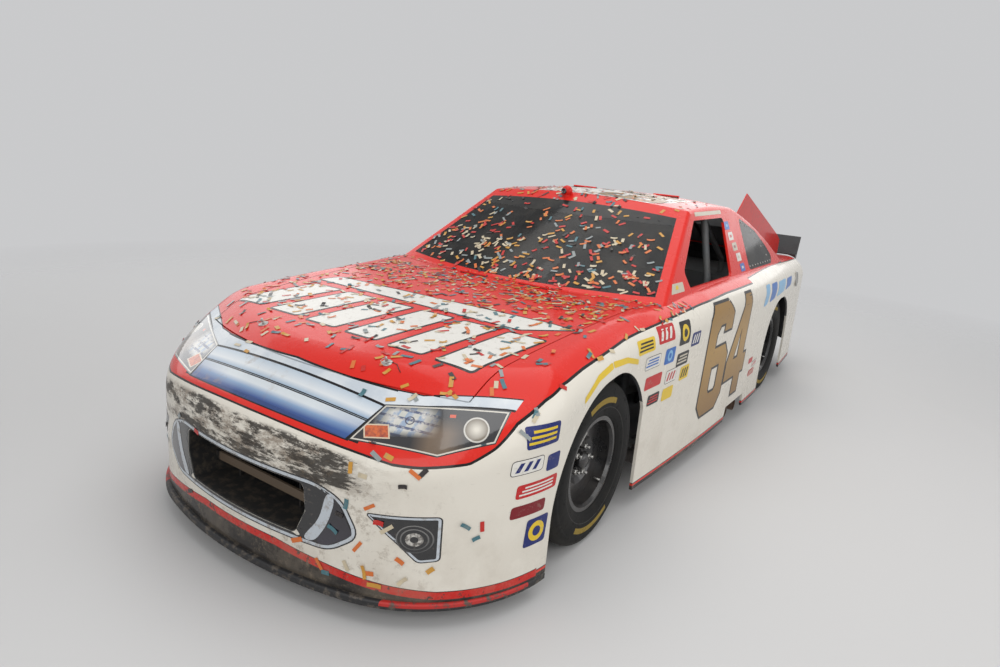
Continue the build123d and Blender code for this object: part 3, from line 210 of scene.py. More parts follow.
floor_cut = bmesh.new()
bmesh.ops.create_circle(floor_cut, cap_ends=True, segments=96, radius=16)
floor_mesh = bpy.data.meshes.new("floor")
floor_cut.to_mesh(floor_mesh)
floor_cut.free()
floor = bpy.data.objects.new("floor", floor_mesh)
scene.collection.objects.link(floor)
floor_paint = Finish("studio_floor", (0.59, 0.585, 0.58), Roughness=0.7)
far = floor_paint.node("ShaderNodeVectorMath", {"operation": "LENGTH"}, floor_paint.point, out="Value")
floor_paint.put(Alpha=1 - floor_paint.fade(far, 2.8, 7.5))
floor.data.materials.append(floor_paint.material)
world = bpy.data.worlds.new("studio")
world.use_nodes = True
scene.world = world
backdrop = Tree(world.node_tree)
LIT, SEEN = 0.34, 0.60
camera_ray, glossy_ray, passing_ray = (backdrop.node("ShaderNodeLightPath", out=f"Is {kind} Ray")
                                       for kind in ("Camera", "Glossy", "Transmission"))
sky = world.node_tree.nodes["Background"].inputs
sky["Color"].default_value = (0.98, 0.985, 1, 1)
backdrop.join((camera_ray | glossy_ray | passing_ray) * (SEEN - LIT) + LIT, sky["Strength"])
for name, place, aim, width, depth, power in (
    ("panel_over", (0.4, -0.4, 5.2), (0, 0, 0.5), 4.2, 7.5, 172),
    ("panel_front", (2.2, -6.5, 3.2), (0, -1.5, 0.5), 5.0, 3.0, 128),
    ("panel_left", (6.5, 0.0, 3.2), (0.5, 0, 0.5), 7.0, 3.4, 130),
    ("panel_right", (-6.5, 0.5, 3.2), (-0.5, 0, 0.5), 7.0, 3.4, 96),
    ("panel_rear", (0.0, 6.5, 3.2), (0, 1.5, 0.5), 5.0, 3.2, 71),
):
    lamp = bpy.data.lights.new(name, "AREA")
    lamp.shape = "RECTANGLE"
    lamp.size, lamp.size_y, lamp.energy = width, depth, power
    hung = bpy.data.objects.new(name, lamp)
    scene.collection.objects.link(hung)
    hung.location = place
    hung.rotation_euler = (Vector(aim) - Vector(place)).to_track_quat("-Z", "Y").to_euler()

# The frame: box and round steel tube, welded and sprayed satin grey, with the floor, firewall and tray
# folded from sheet. Road dust and specks lie on it.


def refinish(finish, *names):
    """Gives CAD nodes this finish."""
    for name in names:
        nodes[name].data.materials.clear()
        nodes[name].data.materials.append(finish.material)


frame_grey = Finish("frame_grey", (0.19, 0.20, 0.21))
frame_grey.age((0.27, 0.25, 0.22), 6, 5, 0.7, 0.42, 0.68, 0.55, (0.42, 0.25))
frame_grey.age((0.10, 0.09, 0.08), 60, 3, 0.7, 0.58, 0.66, 0.4)
frame_grey.bump(frame_grey.noise(220, 2, 0.5), 0.12, 0.001)
refinish(frame_grey, "frame_rails", "cross_members", "floor_pan", "roll_cage")

# The engine with its gearbox hangs between the front rails: a cast iron block, heads with pressed
# rocker covers, exhaust stubs, and a shallow air cleaner. The radiator stands ahead of it.


def circle(radius, steps):
    """Points on a circle round the middle."""
    return [(radius * math.cos(k * math.tau / steps), radius * math.sin(k * math.tau / steps))
            for k in range(steps)]


class Bench:
    """Small parts made on the bench and joined into one piece of the car."""

    def __init__(self):
        self.points, self.faces, self.kinds, self.round, self.finishes = [], [], [], [], []

    def take(self, points, faces, finish, smooth=False, place=Matrix()):
        if finish not in self.finishes:
            self.finishes.append(finish)
        start = len(self.points)
        self.points += [place @ Vector(p) for p in points]
        self.faces += [[start + i for i in face] for face in faces]
        self.kinds += [self.finishes.index(finish)] * len(faces)
        self.round += [smooth] * len(faces)

    def form(self, cut, finish, smooth=False, place=Matrix()):
        """Takes in a form worked out of a block or a sheet."""
        cut.verts.index_update()
        faces = [[v.index for v in face.verts] for face in cut.faces]
        self.take([v.co.copy() for v in cut.verts], faces, finish, smooth, place)
        cut.free()

    def skinned(self, points, rings, steps, finish, smooth, closed=False, place=Matrix()):
        """Rings of points, joined one to the next and closed at the ends, or into a loop."""
        faces = []
        for ring in range(rings if closed else rings - 1):
            near, far = ring * steps, (ring + 1) % rings * steps
            faces += [(near + k, near + (k + 1) % steps, far + (k + 1) % steps, far + k)
                      for k in range(steps)]
        if not closed:
            faces += [list(range(steps))[::-1], list(range(len(points) - steps, len(points)))]
        self.take(points, faces, finish, smooth, place)

    def turned(self, profile, place, axis, finish, steps=24, smooth=True):
        """A lathe part: rows of radius and distance along the axis."""
        turn = Vector(axis).to_track_quat("Z", "Y").to_matrix().to_4x4()
        points = [(a, b, along) for radius, along in profile for a, b in circle(radius, steps)]
        self.skinned(points, len(profile), steps, finish, smooth, False, Matrix.Translation(place) @ turn)

    def rod(self, start, end, radius, finish, steps=12, edge=0.15):
        run = Vector(end) - Vector(start)
        rim = radius * edge
        profile = [(radius - rim, 0), (radius, rim), (radius, run.length - rim), (radius - rim, run.length)]
        self.turned(profile, start, run, finish, steps)

    def slab(self, place, size, finish, edge=0.002, turn=Matrix()):
        """A block or plate with broken edges, turned about its middle."""
        cut = bmesh.new()
        bmesh.ops.create_cube(cut, size=1)
        bmesh.ops.scale(cut, vec=size, verts=cut.verts)
        bmesh.ops.bevel(cut, geom=cut.edges, offset=edge, segments=2, affect="EDGES", profile=0.6)
        self.form(cut, finish, False, Matrix.Translation(place) @ turn)

    def pipe(self, path, radius, finish, steps=10, closed=False):
        """A bent tube through these points."""
        rows = []
        path = [Vector(p) for p in path]
        side = None
        for k, here in enumerate(path):
            last = path[k - 1] if k or closed else here
            following = path[(k + 1) % len(path)] if k + 1 < len(path) or closed else here
            along = (following - last).normalized()
            side = (side - along * side.dot(along)).normalized() if side else along.orthogonal().normalized()
            cross = along.cross(side)
            rows += [here + side * a + cross * b for a, b in circle(radius, steps)]
        self.skinned(rows, len(path), steps, finish, True, closed)

    def piece(self, name, body, slot):
        mesh = bpy.data.meshes.new(name)
        mesh.from_pydata([tuple(p) for p in self.points], [], self.faces)
        for finish in self.finishes:
            mesh.materials.append(finish.material)
        for polygon, kind, smooth in zip(mesh.polygons, self.kinds, self.round):
            polygon.material_index, polygon.use_smooth = kind, smooth
        mesh.update()
        made = bpy.data.objects.new(name, mesh)
        scene.collection.objects.link(made)
        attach(made, body)
        return made


cast = Finish("cast_metal", (0.34, 0.34, 0.35), Metallic=0.75)
cast.age((0.12, 0.10, 0.08), 5, 5, 0.7, 0.45, 0.65, 0.7, (0.45, 0.25))
cast.bump(cast.noise(150), 0.35, 0.001)
refinish(cast, "engine")
core = Finish("radiator_core", (0.03, 0.03, 0.032), Metallic=0.6, Roughness=0.5)
x, y, z = core.place()
gaps = ((z * 90).math("FRACT") < 0.35) | ((x * 55).math("FRACT") < 0.18)
core.cover(gaps, (0.16, 0.16, 0.165))
refinish(core, "radiator")
satin_black = Finish("satin_black", (0.016, 0.016, 0.017))
satin_black.age((0.045, 0.042, 0.038), 14, 5, 0.7, 0.50, 0.70, 0.5, (0.38, 0.25))
satin_black.bump(satin_black.noise(300, 2, 0.5), 0.1, 0.0006)
plain_steel = Finish("plain_steel", (0.42, 0.41, 0.39), Metallic=1.0)
plain_steel.put(Roughness=0.28 + plain_steel.patches(40, 3, 0.6, 0.35, 0.7) * 0.3)
blue_hose = Finish("blue_hose", (0.015, 0.04, 0.17), Roughness=0.5)
blue_hose.age((0.03, 0.08, 0.28), 80, 2, 0.6, 0.4, 0.6)
EXHAUST_STUB = ((0.275, 0, 0.66), (0.335, 0, 0.645), (0.35, 0.01, 0.60), (0.352, 0.04, 0.50),
                (0.355, 0.06, 0.42))
AIR_CLEANER = [(0.06, 0), (0.06, 0.03), (0.165, 0.032), (0.17, 0.04), (0.17, 0.062), (0.16, 0.07),
               (0.03, 0.076)]
TOP_HOSE = [(0.05, -1.80, 0.70), (0.06, -1.86, 0.70), (0.10, -1.98, 0.66), (0.14, -2.06, 0.615)]
top_end = Bench()
for side in (1, -1):
    top_end.slab((side * 0.18, -1.5, 0.775), (0.14, 0.56, 0.05), satin_black, 0.014,
                 Matrix.Rotation(side * 0.3, 4, "Y"))
    for k in range(6):
        bolt_y = -1.74 + 0.096 * k
        top_end.rod((side * 0.18, bolt_y, 0.795), (side * 0.18, bolt_y, 0.812), 0.008, plain_steel, 6)
    for k in range(4):
        port_y = -1.71 + 0.14 * k
        top_end.pipe([(side * a, port_y + b, c) for a, b, c in EXHAUST_STUB], 0.021, plain_steel)
top_end.turned(AIR_CLEANER, (0, -1.44, 0.748), (0, 0, 1), satin_black, 40)
top_end.pipe(TOP_HOSE, 0.022, blue_hose, 12)
for place, radius in (((0, -1.83, 0.50), 0.085), ((0.13, -1.83, 0.62), 0.05), ((-0.13, -1.83, 0.60), 0.05)):
    pulley = [(0.5, 0), (1, 0), (1, 0.006), (0.86, 0.012), (1, 0.018), (1, 0.024), (0.4, 0.024)]
    top_end.turned([(radius * share, along) for share, along in pulley], place, (0, 1, 0), plain_steel, 28)
top_end.piece("engine_top_end", "body", "engine_metal")

# Suspension and driveline: tube arms and forgings in satin black steel, greasy at the joints, with
# coil springs and dampers at all four corners.
steel_black = Finish("steel_black", (0.030, 0.030, 0.032), Metallic=0.3)
steel_black.age((0.07, 0.055, 0.04), 12, 5, 0.7, 0.45, 0.65, 0.6, (0.36, 0.3))
refinish(steel_black, "front_suspension", "rear_axle", "rear_suspension", "driveshaft", "knuckle_left",
         "knuckle_right")
spring_paint = Finish("spring_paint", (0.42, 0.28, 0.02), Roughness=0.4)
spring_paint.age((0.09, 0.07, 0.05), 30, 4, 0.7, 0.5, 0.66)
FRONT_AXLE, REAR_AXLE = -1.46, 1.334


def coil(foot, head, radius, turns):
    """Points of a coil spring between two seats."""
    along = (head - foot).normalized()
    side = along.orthogonal().normalized()
    cross = along.cross(side)
    steps = int(turns * 20)
    unit = circle(radius, 20)
    return [foot.lerp(head, k / steps) + side * unit[k % 20][0] + cross * unit[k % 20][1]
            for k in range(steps + 1)]


springs = Bench()
for side in (1, -1):
    low, high = Vector((side * 0.468, FRONT_AXLE, 0.272)), Vector((side * 0.440, FRONT_AXLE, 0.60))
    seat = Vector((0, 0, 0.03))
    springs.pipe(coil(low + seat, high - seat, 0.052, 7), 0.0075, spring_paint, 8)
    springs.rod(low, high, 0.02, plain_steel, 16)
    springs.slab(high, (0.10, 0.13, 0.016), frame_grey, 0.003)
    springs.rod((side * 0.40, FRONT_AXLE, 0.60), high, 0.016, frame_grey)
    springs.slab(low, (0.04, 0.09, 0.04), steel_black, 0.006)
    low, high = Vector((side * 0.43, REAR_AXLE, 0.395)), Vector((side * 0.43, REAR_AXLE, 0.515))
    springs.pipe(coil(low, high, 0.058, 3.5), 0.0085, spring_paint, 8)
    springs.rod((side * 0.52, 1.43, 0.30), (side * 0.47, 1.40, 0.58), 0.024, plain_steel, 16)
springs.piece("springs_and_dampers", "body", "black_steel")

# Wheels: welded steel, sprayed gloss black, each held by five hexagon nuts, with a valve, balance
# weights and a domed grease cap. The tyres are slicks, with plain ochre arcs on their walls.
wheel_black = Finish("wheel_black", (0.012, 0.012, 0.013), Coat_Weight=0.4)
wheel_black.age((0.05, 0.042, 0.036), 9, 6, 0.7, 0.40, 0.66, 0.6, (0.26, 0.3))
WHEEL_X, WHEEL_Z = 0.758, 0.352


def distance(a, b):
    return (a * a + b * b).math("SQRT")


slick = Finish("slick_rubber", (0.009, 0.0088, 0.0085), Specular_IOR_Level=0.16)
x, y, z = slick.place()
across, high = y - (y > 0) * (REAR_AXLE - FRONT_AXLE) - FRONT_AXLE, z - WHEEL_Z
radius = distance(across, high)
bearing = abs(across.math("ARCTAN2", high))
slick.cover(slick.fade(radius, 0.325, 0.350), (0.032, 0.030, 0.027))
slick.age((0.045, 0.037, 0.03), 5, 5, 0.7, 0.5, 0.75, 0.4)
worn = slick.patches(34, 5, 0.75, 0.56, 0.66)
arcs = (radius > 0.266) & (radius < 0.290) & ((bearing < 0.42) | (bearing > 2.62))
slick.cover(arcs * (0.75 - worn * 0.35), (0.36, 0.25, 0.05))
slick.cover((radius > 0.246) & (radius < 0.2485), (0.05, 0.048, 0.045))
slick.put(Roughness=0.62 + worn * 0.2)
slick.bump(slick.noise(70, 4, 0.8, (0.25, 1, 1)), 0.3, 0.0015)
for end, side, axle_y in (("front_left", 1, FRONT_AXLE), ("front_right", -1, FRONT_AXLE),
                          ("rear_left", 1, REAR_AXLE), ("rear_right", -1, REAR_AXLE)):
    refinish(slick, "tyre_" + end)
    refinish(wheel_black, "rim_" + end)
    hub = Bench()
    out = (side, 0, 0)
    face, lip = side * (WHEEL_X + 0.062), side * (WHEEL_X + 0.115)
    for a, b in circle(0.0603, 5):
        stud = Vector((face, axle_y + a, WHEEL_Z + b))
        hub.turned([(0.0135, 0), (0.0135, 0.016), (0.0105, 0.020)], stud, out, plain_steel, 6, False)
        hub.rod(stud, stud + Vector((side * 0.034, 0, 0)), 0.0065, plain_steel, 10)
    hub.turned([(0.037, 0), (0.037, 0.012), (0.034, 0.022), (0.024, 0.031), (0.008, 0.035)],
               (face + side * 0.002, axle_y, WHEEL_Z), out, wheel_black, 32)
    hub.rod((lip - side * 0.03, axle_y + 0.118, WHEEL_Z - 0.118),
            (lip - side * 0.002, axle_y + 0.121, WHEEL_Z - 0.121), 0.0045, plain_steel, 10)
    for k in range(4):
        angle = 2.1 + 0.085 * k
        place = (lip + side * 0.009, axle_y + 0.187 * math.cos(angle), WHEEL_Z + 0.187 * math.sin(angle))
        hub.slab(place, (0.004, 0.016, 0.008), plain_steel, 0.001,
                 Matrix.Rotation(angle + math.pi / 2, 4, "X"))
    hub.piece("wheel_fittings_" + end, "wheel_" + end, "wheel_black")

# The body's paint: panels sprayed bright red above and off-white below, parted by a fine black line,
# then clear-coated, with grey primer inside. A silver band crosses the nose, which is scuffed and dirty.
# Along the foot of the nose, below the red lip, a dark band is painted shade.
red, white, black = (0.66, 0.022, 0.014), (0.72, 0.68, 0.60), (0.010, 0.010, 0.011)
paint = Finish("body_paint", white, Coat_Weight=0.25, Coat_Roughness=0.06, Specular_IOR_Level=0.12)
x, y, z = paint.place()
line_z = paint.curve(y, [(-2.465, 0.611), (-2.440, 0.596), (-2.383, 0.573), (-2.341, 0.573), (-2.236, 0.590),
                         (-2.158, 0.633), (-2.069, 0.698), (-1.947, 0.756), (-1.845, 0.791), (-1.678, 0.812),
                         (-1.297, 0.846), (-0.759, 0.873), (-0.443, 0.889), (-0.021, 0.902), (0.51, 0.904)])
line_x = paint.curve(y, [(0.51, 0.885), (1.22, 0.842), (1.90, 0.825), (2.54, 0.80)])
rear_part = y > 0.51
over_line = (z - line_z) * (1 - rear_part) + ((line_x - abs(x)) & (z - 0.80)) * rear_part
paint.cover(over_line > -0.0001, black)
paint.cover(over_line > 0.008, red)
over_lamp = abs(x) > 0.470
between_lamps = 1 - over_lamp
lamp_top = (abs(x) - 0.472) * 0.596 - 2.273
band = (y - lamp_top) * over_lamp + (z - 0.733 + x * x * 0.135) * between_lamps
band_top = ((0.041 + paint.fade(abs(x), 0.56, 0.47) * 0.027) * over_lamp
            + (0.024 - abs(x) * 0.037 + x * x * 0.135) * between_lamps)
front = (y < -1.98) & (z > 0.690) & ((y < -2.15) | over_lamp) & (abs(x) < 0.850)
paint.cover((band > -0.006) & (band - band_top < 0.005) & front, black)
grille_foot = z - 0.628 + x * x * 0.08
below_grille = (grille_foot > 0) & (grille_foot < 0.025) & (abs(x) < 0.444) & (y < -2.38)
paint.cover(below_grille, (0.035, 0.065, 0.19))
paint.cover(below_grille & (grille_foot < 0.003), black)
paint.cover((abs(x) > 0.425) & (abs(x) < 0.480) & (grille_foot > 0.002) & (z < 0.706) & (y < -2.25), black)
silver = paint.mix(paint.patches(7, 4, 0.6, 0.4, 0.7), (0.52, 0.57, 0.62), (0.68, 0.71, 0.73))
paint.cover((band > 0.002) & (band < band_top) & front, silver)
on_nose = y < -1.96
behind_nose = 1 - on_nose
over_lip = z - 0.176 + paint.fade(abs(x), 0.20, 0.76) * 0.066
chips = paint.patches(40, 5, 0.75, 0.58, 0.62)
# Painted shade: the foot of the nose below the red lip is painted near-black in place of the shadow under the
# nose.
paint.cover((over_lip < 0.031) & on_nose, (0.03, 0.027, 0.025))
paint.cover((over_lip > 0) & (over_lip < 0.028) & on_nose & (1 - chips), (0.55, 0.02, 0.016))
paint.cover((z < 0.134) & behind_nose, black)
paint.cover((z < 0.130) & (z > 0.119) & behind_nose, red)
above_opening = (paint.fade(y, -2.20, -2.36) * paint.fade(over_line, -0.012, -0.03)
                 * paint.fade(z, 0.40, 0.47) * paint.fade(x, 0.66, 0.38))
brown = paint.patches(7.5, 8, 0.80, 0.46, 0.58, (1, 1, 2.6)) * above_opening
paint.cover(brown * 0.75, (0.15, 0.105, 0.070))
streaks = paint.noise(4.2, 9, 0.80, (1.6, 1.0, 6.5)) * 0.7 + paint.noise(3.1) * 0.3
scuffs = paint.fade(streaks + above_opening * 0.05, 0.535, 0.575) * paint.fade(above_opening, 0.1, 0.6)
paint.cover(scuffs * 0.92, (0.026, 0.022, 0.019))
stone_wear = paint.fade(y, -2.25, -2.45) * paint.patches(19, 6, 0.8, 0.55, 0.66) * paint.fade(z, 0.62, 0.5)
paint.cover(stone_wear * 0.6, (0.22, 0.17, 0.12))
grime = paint.noise(5.5, 6, 0.7)
paint.cover(paint.fade(grime, 0.44, 0.76) * paint.fade(z, 0.70, 0.12) * 0.38, (0.34, 0.28, 0.21))
hairlines = paint.patches(55, 4, 0.8, 0.66, 0.70, (0.3, 0.3, 2.2)) * paint.fade(z, 0.9, 0.3)
paint.cover(hairlines * 0.35, (0.25, 0.21, 0.17))
across, along, upright = paint.place("Normal")
past_ends = y - y.math("MAXIMUM", -1.9).math("MINIMUM", 1.9)
inner_side = across * x + along * past_ends + upright * (z - 0.45) < -0.04
paint.cover(inner_side, paint.mix(paint.fade(grime, 0.4, 0.7), (0.075, 0.078, 0.082), (0.13, 0.125, 0.115)))
paint.put(Coat_Weight=0.25 - inner_side * 0.22,
          Roughness=0.22 + paint.fade(grime, 0.35, 0.75) * 0.12 + scuffs * 0.35)
paint.bump(scuffs + paint.noise(18, 2, 0.5) * 0.02, 0.2, 0.0012)
refinish(paint, "nose", "hood", "cowl", "fender_left", "fender_right", "door_left", "door_right",
         "quarter_left", "quarter_right", "decklid", "tail", "roof", "roof_flap_left", "roof_flap_right")

# The upper grille: a printed film on the closed nose, two silver bars fading to blue with a black
# line between and round them, smudged with track dirt.
grille = Finish("grille_print", Coat_Weight=0.3, Coat_Roughness=0.08, Roughness=0.25, Specular_IOR_Level=0.25)
x, y, z = grille.place()
rise = (z - 0.628 + x * x * 0.08) / (0.104 - x * x * 0.055)
grille.shade = grille.node("ShaderNodeValToRGB", {"stops": [
    (0.0, (0.025, 0.045, 0.15)), (0.14, (0.045, 0.09, 0.26)), (0.27, (0.22, 0.33, 0.50)),
    (0.39, (0.64, 0.68, 0.71)), (0.54, (0.60, 0.65, 0.68)), (0.60, (0.34, 0.44, 0.55)),
    (0.73, (0.68, 0.71, 0.73)), (0.97, (0.46, 0.54, 0.62))]}, rise)
blue_ends = grille.fade(abs(x), 0.24, 0.44) * grille.fade(rise, 0.75, 0.35)
grille.cover(blue_ends * 0.45, (0.05, 0.12, 0.32))
from_seam = abs(rise - 0.565)
grille.cover((from_seam < 0.030) | (rise > 0.975), black)
grille.cover(from_seam < 0.005, (0.30, 0.36, 0.42))
smudges = grille.patches(7, 7, 0.75, 0.52, 0.66) * grille.fade(x, 0.2, -0.2)
grille.cover(smudges * 0.6, (0.30, 0.21, 0.13))
grille.cover(abs(x) - rise * 0.034 > 0.429, black)
refinish(grille, "upper_grille")

# The headlamps: printed film on the closed nose, black inside a thin silver line, with pale
# reflector facets, an amber block at the inner corner and a round lens at the outer end.
lamp_print = Finish("lamp_print", (0.016, 0.016, 0.018), Roughness=0.14, Coat_Weight=0.8, Coat_Roughness=0.04)
x, y, z = lamp_print.place()
a, b, c = abs(x) - 0.472, y + 2.273, z - 0.718
u = a * 0.859 + b * 0.511 + c * 0.028
v = a * 0.355 - b * 0.556 - c * 0.749
facets = lamp_print.mix((u * 21 + v * 9).math("FRACT") > 0.5, (0.30, 0.38, 0.50), (0.55, 0.55, 0.50))
facets = lamp_print.mix((v * 30 - u * 6).math("FRACT") < 0.3, facets, (0.10, 0.12, 0.20))
facets = lamp_print.mix(lamp_print.patches(30, 4, 0.7, 0.45, 0.6), facets, (0.62, 0.60, 0.56))
middle = lamp_print.fade(abs(u - 0.085), 0.115, 0.055) * lamp_print.fade(abs(v - 0.062), 0.062, 0.035)
lamp_print.cover(middle, facets)
warm = lamp_print.fade(abs(u - 0.20), 0.09, 0.03) * lamp_print.fade(v, 0.04, 0.10)
lamp_print.cover(warm * 0.45, (0.30, 0.20, 0.12))
from_ring = distance(u - 0.095, v - 0.060)
lamp_print.cover((from_ring > 0.012) & (from_ring < 0.016), (0.08, 0.08, 0.12))
amber_u, amber_v = abs(u + 0.035 - v * 0.25), abs(v - 0.105)
lamp_print.cover((amber_u < 0.044) & (amber_v < 0.027), (0.62, 0.50, 0.36))
glow = lamp_print.mix(lamp_print.patches(45, 4, 0.7, 0.4, 0.62), (0.62, 0.13, 0.03), (0.28, 0.05, 0.03))
lamp_print.cover((amber_u < 0.039) & (amber_v < 0.022), glow)
from_lens = distance(u - 0.318, (v - 0.079) * 0.92)
lens = lamp_print.mix(lamp_print.fade(from_lens, 0.005, 0.034), (0.62, 0.58, 0.50), (0.20, 0.17, 0.13))
lamp_print.cover(from_lens < 0.040, lens)
lamp_print.cover((from_lens > 0.037) & (from_lens < 0.042), (0.55, 0.53, 0.48))
lamp_print.cover((abs(u - 0.235) < 0.010) & (abs(v - 0.035) < 0.006), (0.62, 0.08, 0.03))
LAMP_OUTLINE = [(-0.099, 0.140), (0, 0), (0.426, 0), (0.385, 0.120), (0.204, 0.186)]
from_edge = None
for (u0, v0), (u1, v1) in zip(LAMP_OUTLINE, LAMP_OUTLINE[1:] + LAMP_OUTLINE[:1]):
    run = math.hypot(u1 - u0, v1 - v0)
    depth = (v - v0) * ((u1 - u0) / run) - (u - u0) * ((v1 - v0) / run)
    from_edge = from_edge & depth if from_edge else depth
lamp_print.cover((from_edge > 0.0045) & (from_edge < 0.0095), (0.58, 0.55, 0.48))
lamp_print.cover(from_edge < 0.0045, black)
refinish(lamp_print, "headlamps")

# The lower opening: a silver line printed round it, ended each side by a dark printed pocket with a
# curved silver band. Behind it stand the moulded duct, a wire screen and a foam-faced bar.


def surface(*names):
    """The outer surface of some CAD nodes, to lay films on."""
    points, faces = [], []
    for name in names:
        mesh = nodes[name].data
        start = len(points)
        points += [v.co.copy() for v in mesh.vertices]
        faces += [[start + i for i in p.vertices] for p in mesh.polygons]
    return BVHTree.FromPolygons(points, faces)


# For each view: where its lines start, the way across and up on the sheet, and the way to the car
VIEWS = {view: [Vector(way) for way in ways] for view, *ways in (
    ("left", (2, 0, 0), (0, 1, 0), (0, 0, 1), (-1, 0, 0)),
    ("right", (-2, 0, 0), (0, -1, 0), (0, 0, 1), (1, 0, 0)),
    ("front", (0, -4, 0), (1, 0, 0), (0, 0, 1), (0, 1, 0)),
    ("rear", (0, 4, 0), (1, 0, 0), (0, 0, 1), (0, -1, 0)),
    ("top", (0, 0, 3), (1, 0, 0), (0, 1, 0), (0, 0, -1)),
)}


def touch(under, view, a, b, lift=0.0):
    """The place and the outward direction where a view's line meets a surface."""
    start, across, up, toward = VIEWS[view]
    place, normal, _, _ = under.ray_cast(start + across * a + up * b, toward)
    if place is None:
        return None, None
    if normal.dot(toward) > 0:
        normal = -normal
    return place + normal * lift, normal


class Film(Bench):
    """Cut and printed films, laid on the body like wrap and joined into one piece."""

    def __init__(self, under, view):
        super().__init__()
        self.under, self.view, self.way = under, view, 1

    def lay(self, loops, finish, lift=0.0008, step=0.03):
        """One film with holes. A way of -1 lays its mirror image."""
        cut = bmesh.new()
        for loop in loops:
            corners = [cut.verts.new((self.way * a, b, 0)) for a, b in loop]
            for one, two in zip(corners, corners[1:] + corners[:1]):
                cut.edges.new((one, two))
        bmesh.ops.triangle_fill(cut, use_beauty=True, edges=cut.edges[:])
        for _ in range(7):
            long = [e for e in cut.edges if e.calc_length() > step]
            if not long:
                break
            bmesh.ops.subdivide_edges(cut, edges=long, cuts=1)
            bmesh.ops.triangulate(cut, faces=cut.faces[:])
        for vertex in list(cut.verts):
            place, _ = touch(self.under, self.view, vertex.co.x, vertex.co.y, lift)
            if place is None:
                cut.verts.remove(vertex)
            else:
                vertex.co = place
        self.form(cut, finish, True)


def grown(loop, amount):
    """A closed outline moved out by an amount, or in by a negative one."""
    area = sum(a[0] * b[1] - b[0] * a[1] for a, b in zip(loop, loop[1:] + loop[:1]))
    amount = math.copysign(1, area) * amount
    moved = []
    for last, here, following in zip(loop[-1:] + loop[:-1], loop, loop[1:] + loop[:1]):
        one = (Vector(here) - Vector(last)).normalized()
        two = (Vector(following) - Vector(here)).normalized()
        square = Vector((one.y, -one.x))
        out = square + Vector((two.y, -two.x))
        out = (square if out.length < 0.2 else out).normalized()
        reach = amount / max(0.4, out.dot(square))
        moved.append((here[0] + out.x * reach, here[1] + out.y * reach))
    return moved


def rounded(loop, radius, steps=5):
    """A closed outline with its corners rounded."""
    made = []
    for last, here, following in zip(loop[-1:] + loop[:-1], loop, loop[1:] + loop[:1]):
        corner = Vector(here)
        ends = []
        for other in (last, following):
            run = Vector(other) - corner
            ends.append(corner + run.normalized() * min(radius, run.length * 0.45))
        for k in range(steps + 1):
            t = k / steps
            spot = ends[0] * (1 - t) ** 2 + corner * 2 * t * (1 - t) + ends[1] * t ** 2
            made.append((spot.x, spot.y))
    return made


def disc(centre, radius):
    return [(centre[0] + a, centre[1] + b) for a, b in circle(radius, 36)]


print_black = Finish("print_black", (0.012, 0.012, 0.013), Roughness=0.25, Coat_Weight=0.5)
print_black.age((0.16, 0.13, 0.10), 50, 5, 0.75, 0.60, 0.66, 0.5)
print_silver = Finish("print_silver", (0.50, 0.54, 0.58), Roughness=0.25, Coat_Weight=0.25,
                      Specular_IOR_Level=0.25)
print_silver.age((0.26, 0.22, 0.18), 26, 6, 0.8, 0.52, 0.62, 0.7)
pocket_print = Finish("pocket_print", (0.030, 0.026, 0.040), Roughness=0.2, Coat_Weight=0.6)
pocket_print.cover(pocket_print.fade(pocket_print.place()[2], 0.24, 0.44), (0.008, 0.008, 0.010))
OPENING = [(-0.292, 0.256), (0.292, 0.256), (0.334, 0.350), (0.326, 0.450), (-0.326, 0.450), (-0.334, 0.350)]
AROUND = [(-0.430, 0.234), (0.430, 0.234), (0.538, 0.312), (0.474, 0.430), (0.372, 0.466), (-0.372, 0.466),
          (-0.474, 0.430), (-0.538, 0.312)]
DARK_END = [(0.288, 0.2545), (0.338, 0.256), (0.392, 0.330), (0.430, 0.440), (0.400, 0.4515), (0.322, 0.4515),
            (0.3355, 0.350)]
POCKET = [(0.378, 0.250), (0.424, 0.250), (0.518, 0.314), (0.462, 0.418), (0.440, 0.432), (0.428, 0.330)]
CURVED_BAND = [(0.322, 0.248), (0.374, 0.248), (0.424, 0.328), (0.452, 0.428), (0.418, 0.446), (0.392, 0.338)]
nose_face = surface("nose")
opening_film = Film(nose_face, "front")
line_out = rounded(AROUND, 0.045)
opening_film.lay([grown(line_out, 0.005), rounded(grown(OPENING, 0.001), 0.028)], print_black, 0.0006)
opening_film.lay([line_out, rounded(grown(AROUND, -0.011), 0.038)], print_silver, 0.0010)
for opening_film.way in (1, -1):
    opening_film.lay([DARK_END], print_black, 0.0010)
    opening_film.lay([rounded(POCKET, 0.016)], pocket_print, 0.0014)
    opening_film.lay([rounded(CURVED_BAND, 0.040)], print_silver, 0.0018)
opening_film.piece("opening_film", "body", "grille_print")
duct_black = Finish("duct_black", (0.010, 0.010, 0.010), Roughness=0.6)
x, y, z = duct_black.place()
duct_black.age((0.07, 0.055, 0.04), 30, 5, 0.7, 0.48, 0.62, 0.6)
duct_black.cover((z > 0.294) & (z < 0.33) & (y < -2.365) & (abs(x) < 0.29), (0.13, 0.095, 0.065))
refinish(duct_black, "lower_grille")
screen = Bench()
for k in range(25):
    across = -0.30 + 0.025 * k
    screen.rod((across, -2.345, 0.268), (across, -2.345, 0.440), 0.0014, satin_black, 6)
for k in range(7):
    height = 0.275 + 0.026 * k
    screen.rod((-0.31, -2.3425, height), (0.31, -2.3425, height), 0.0014, satin_black, 6)
screen.piece("duct_screen", "body", "black_plastic")

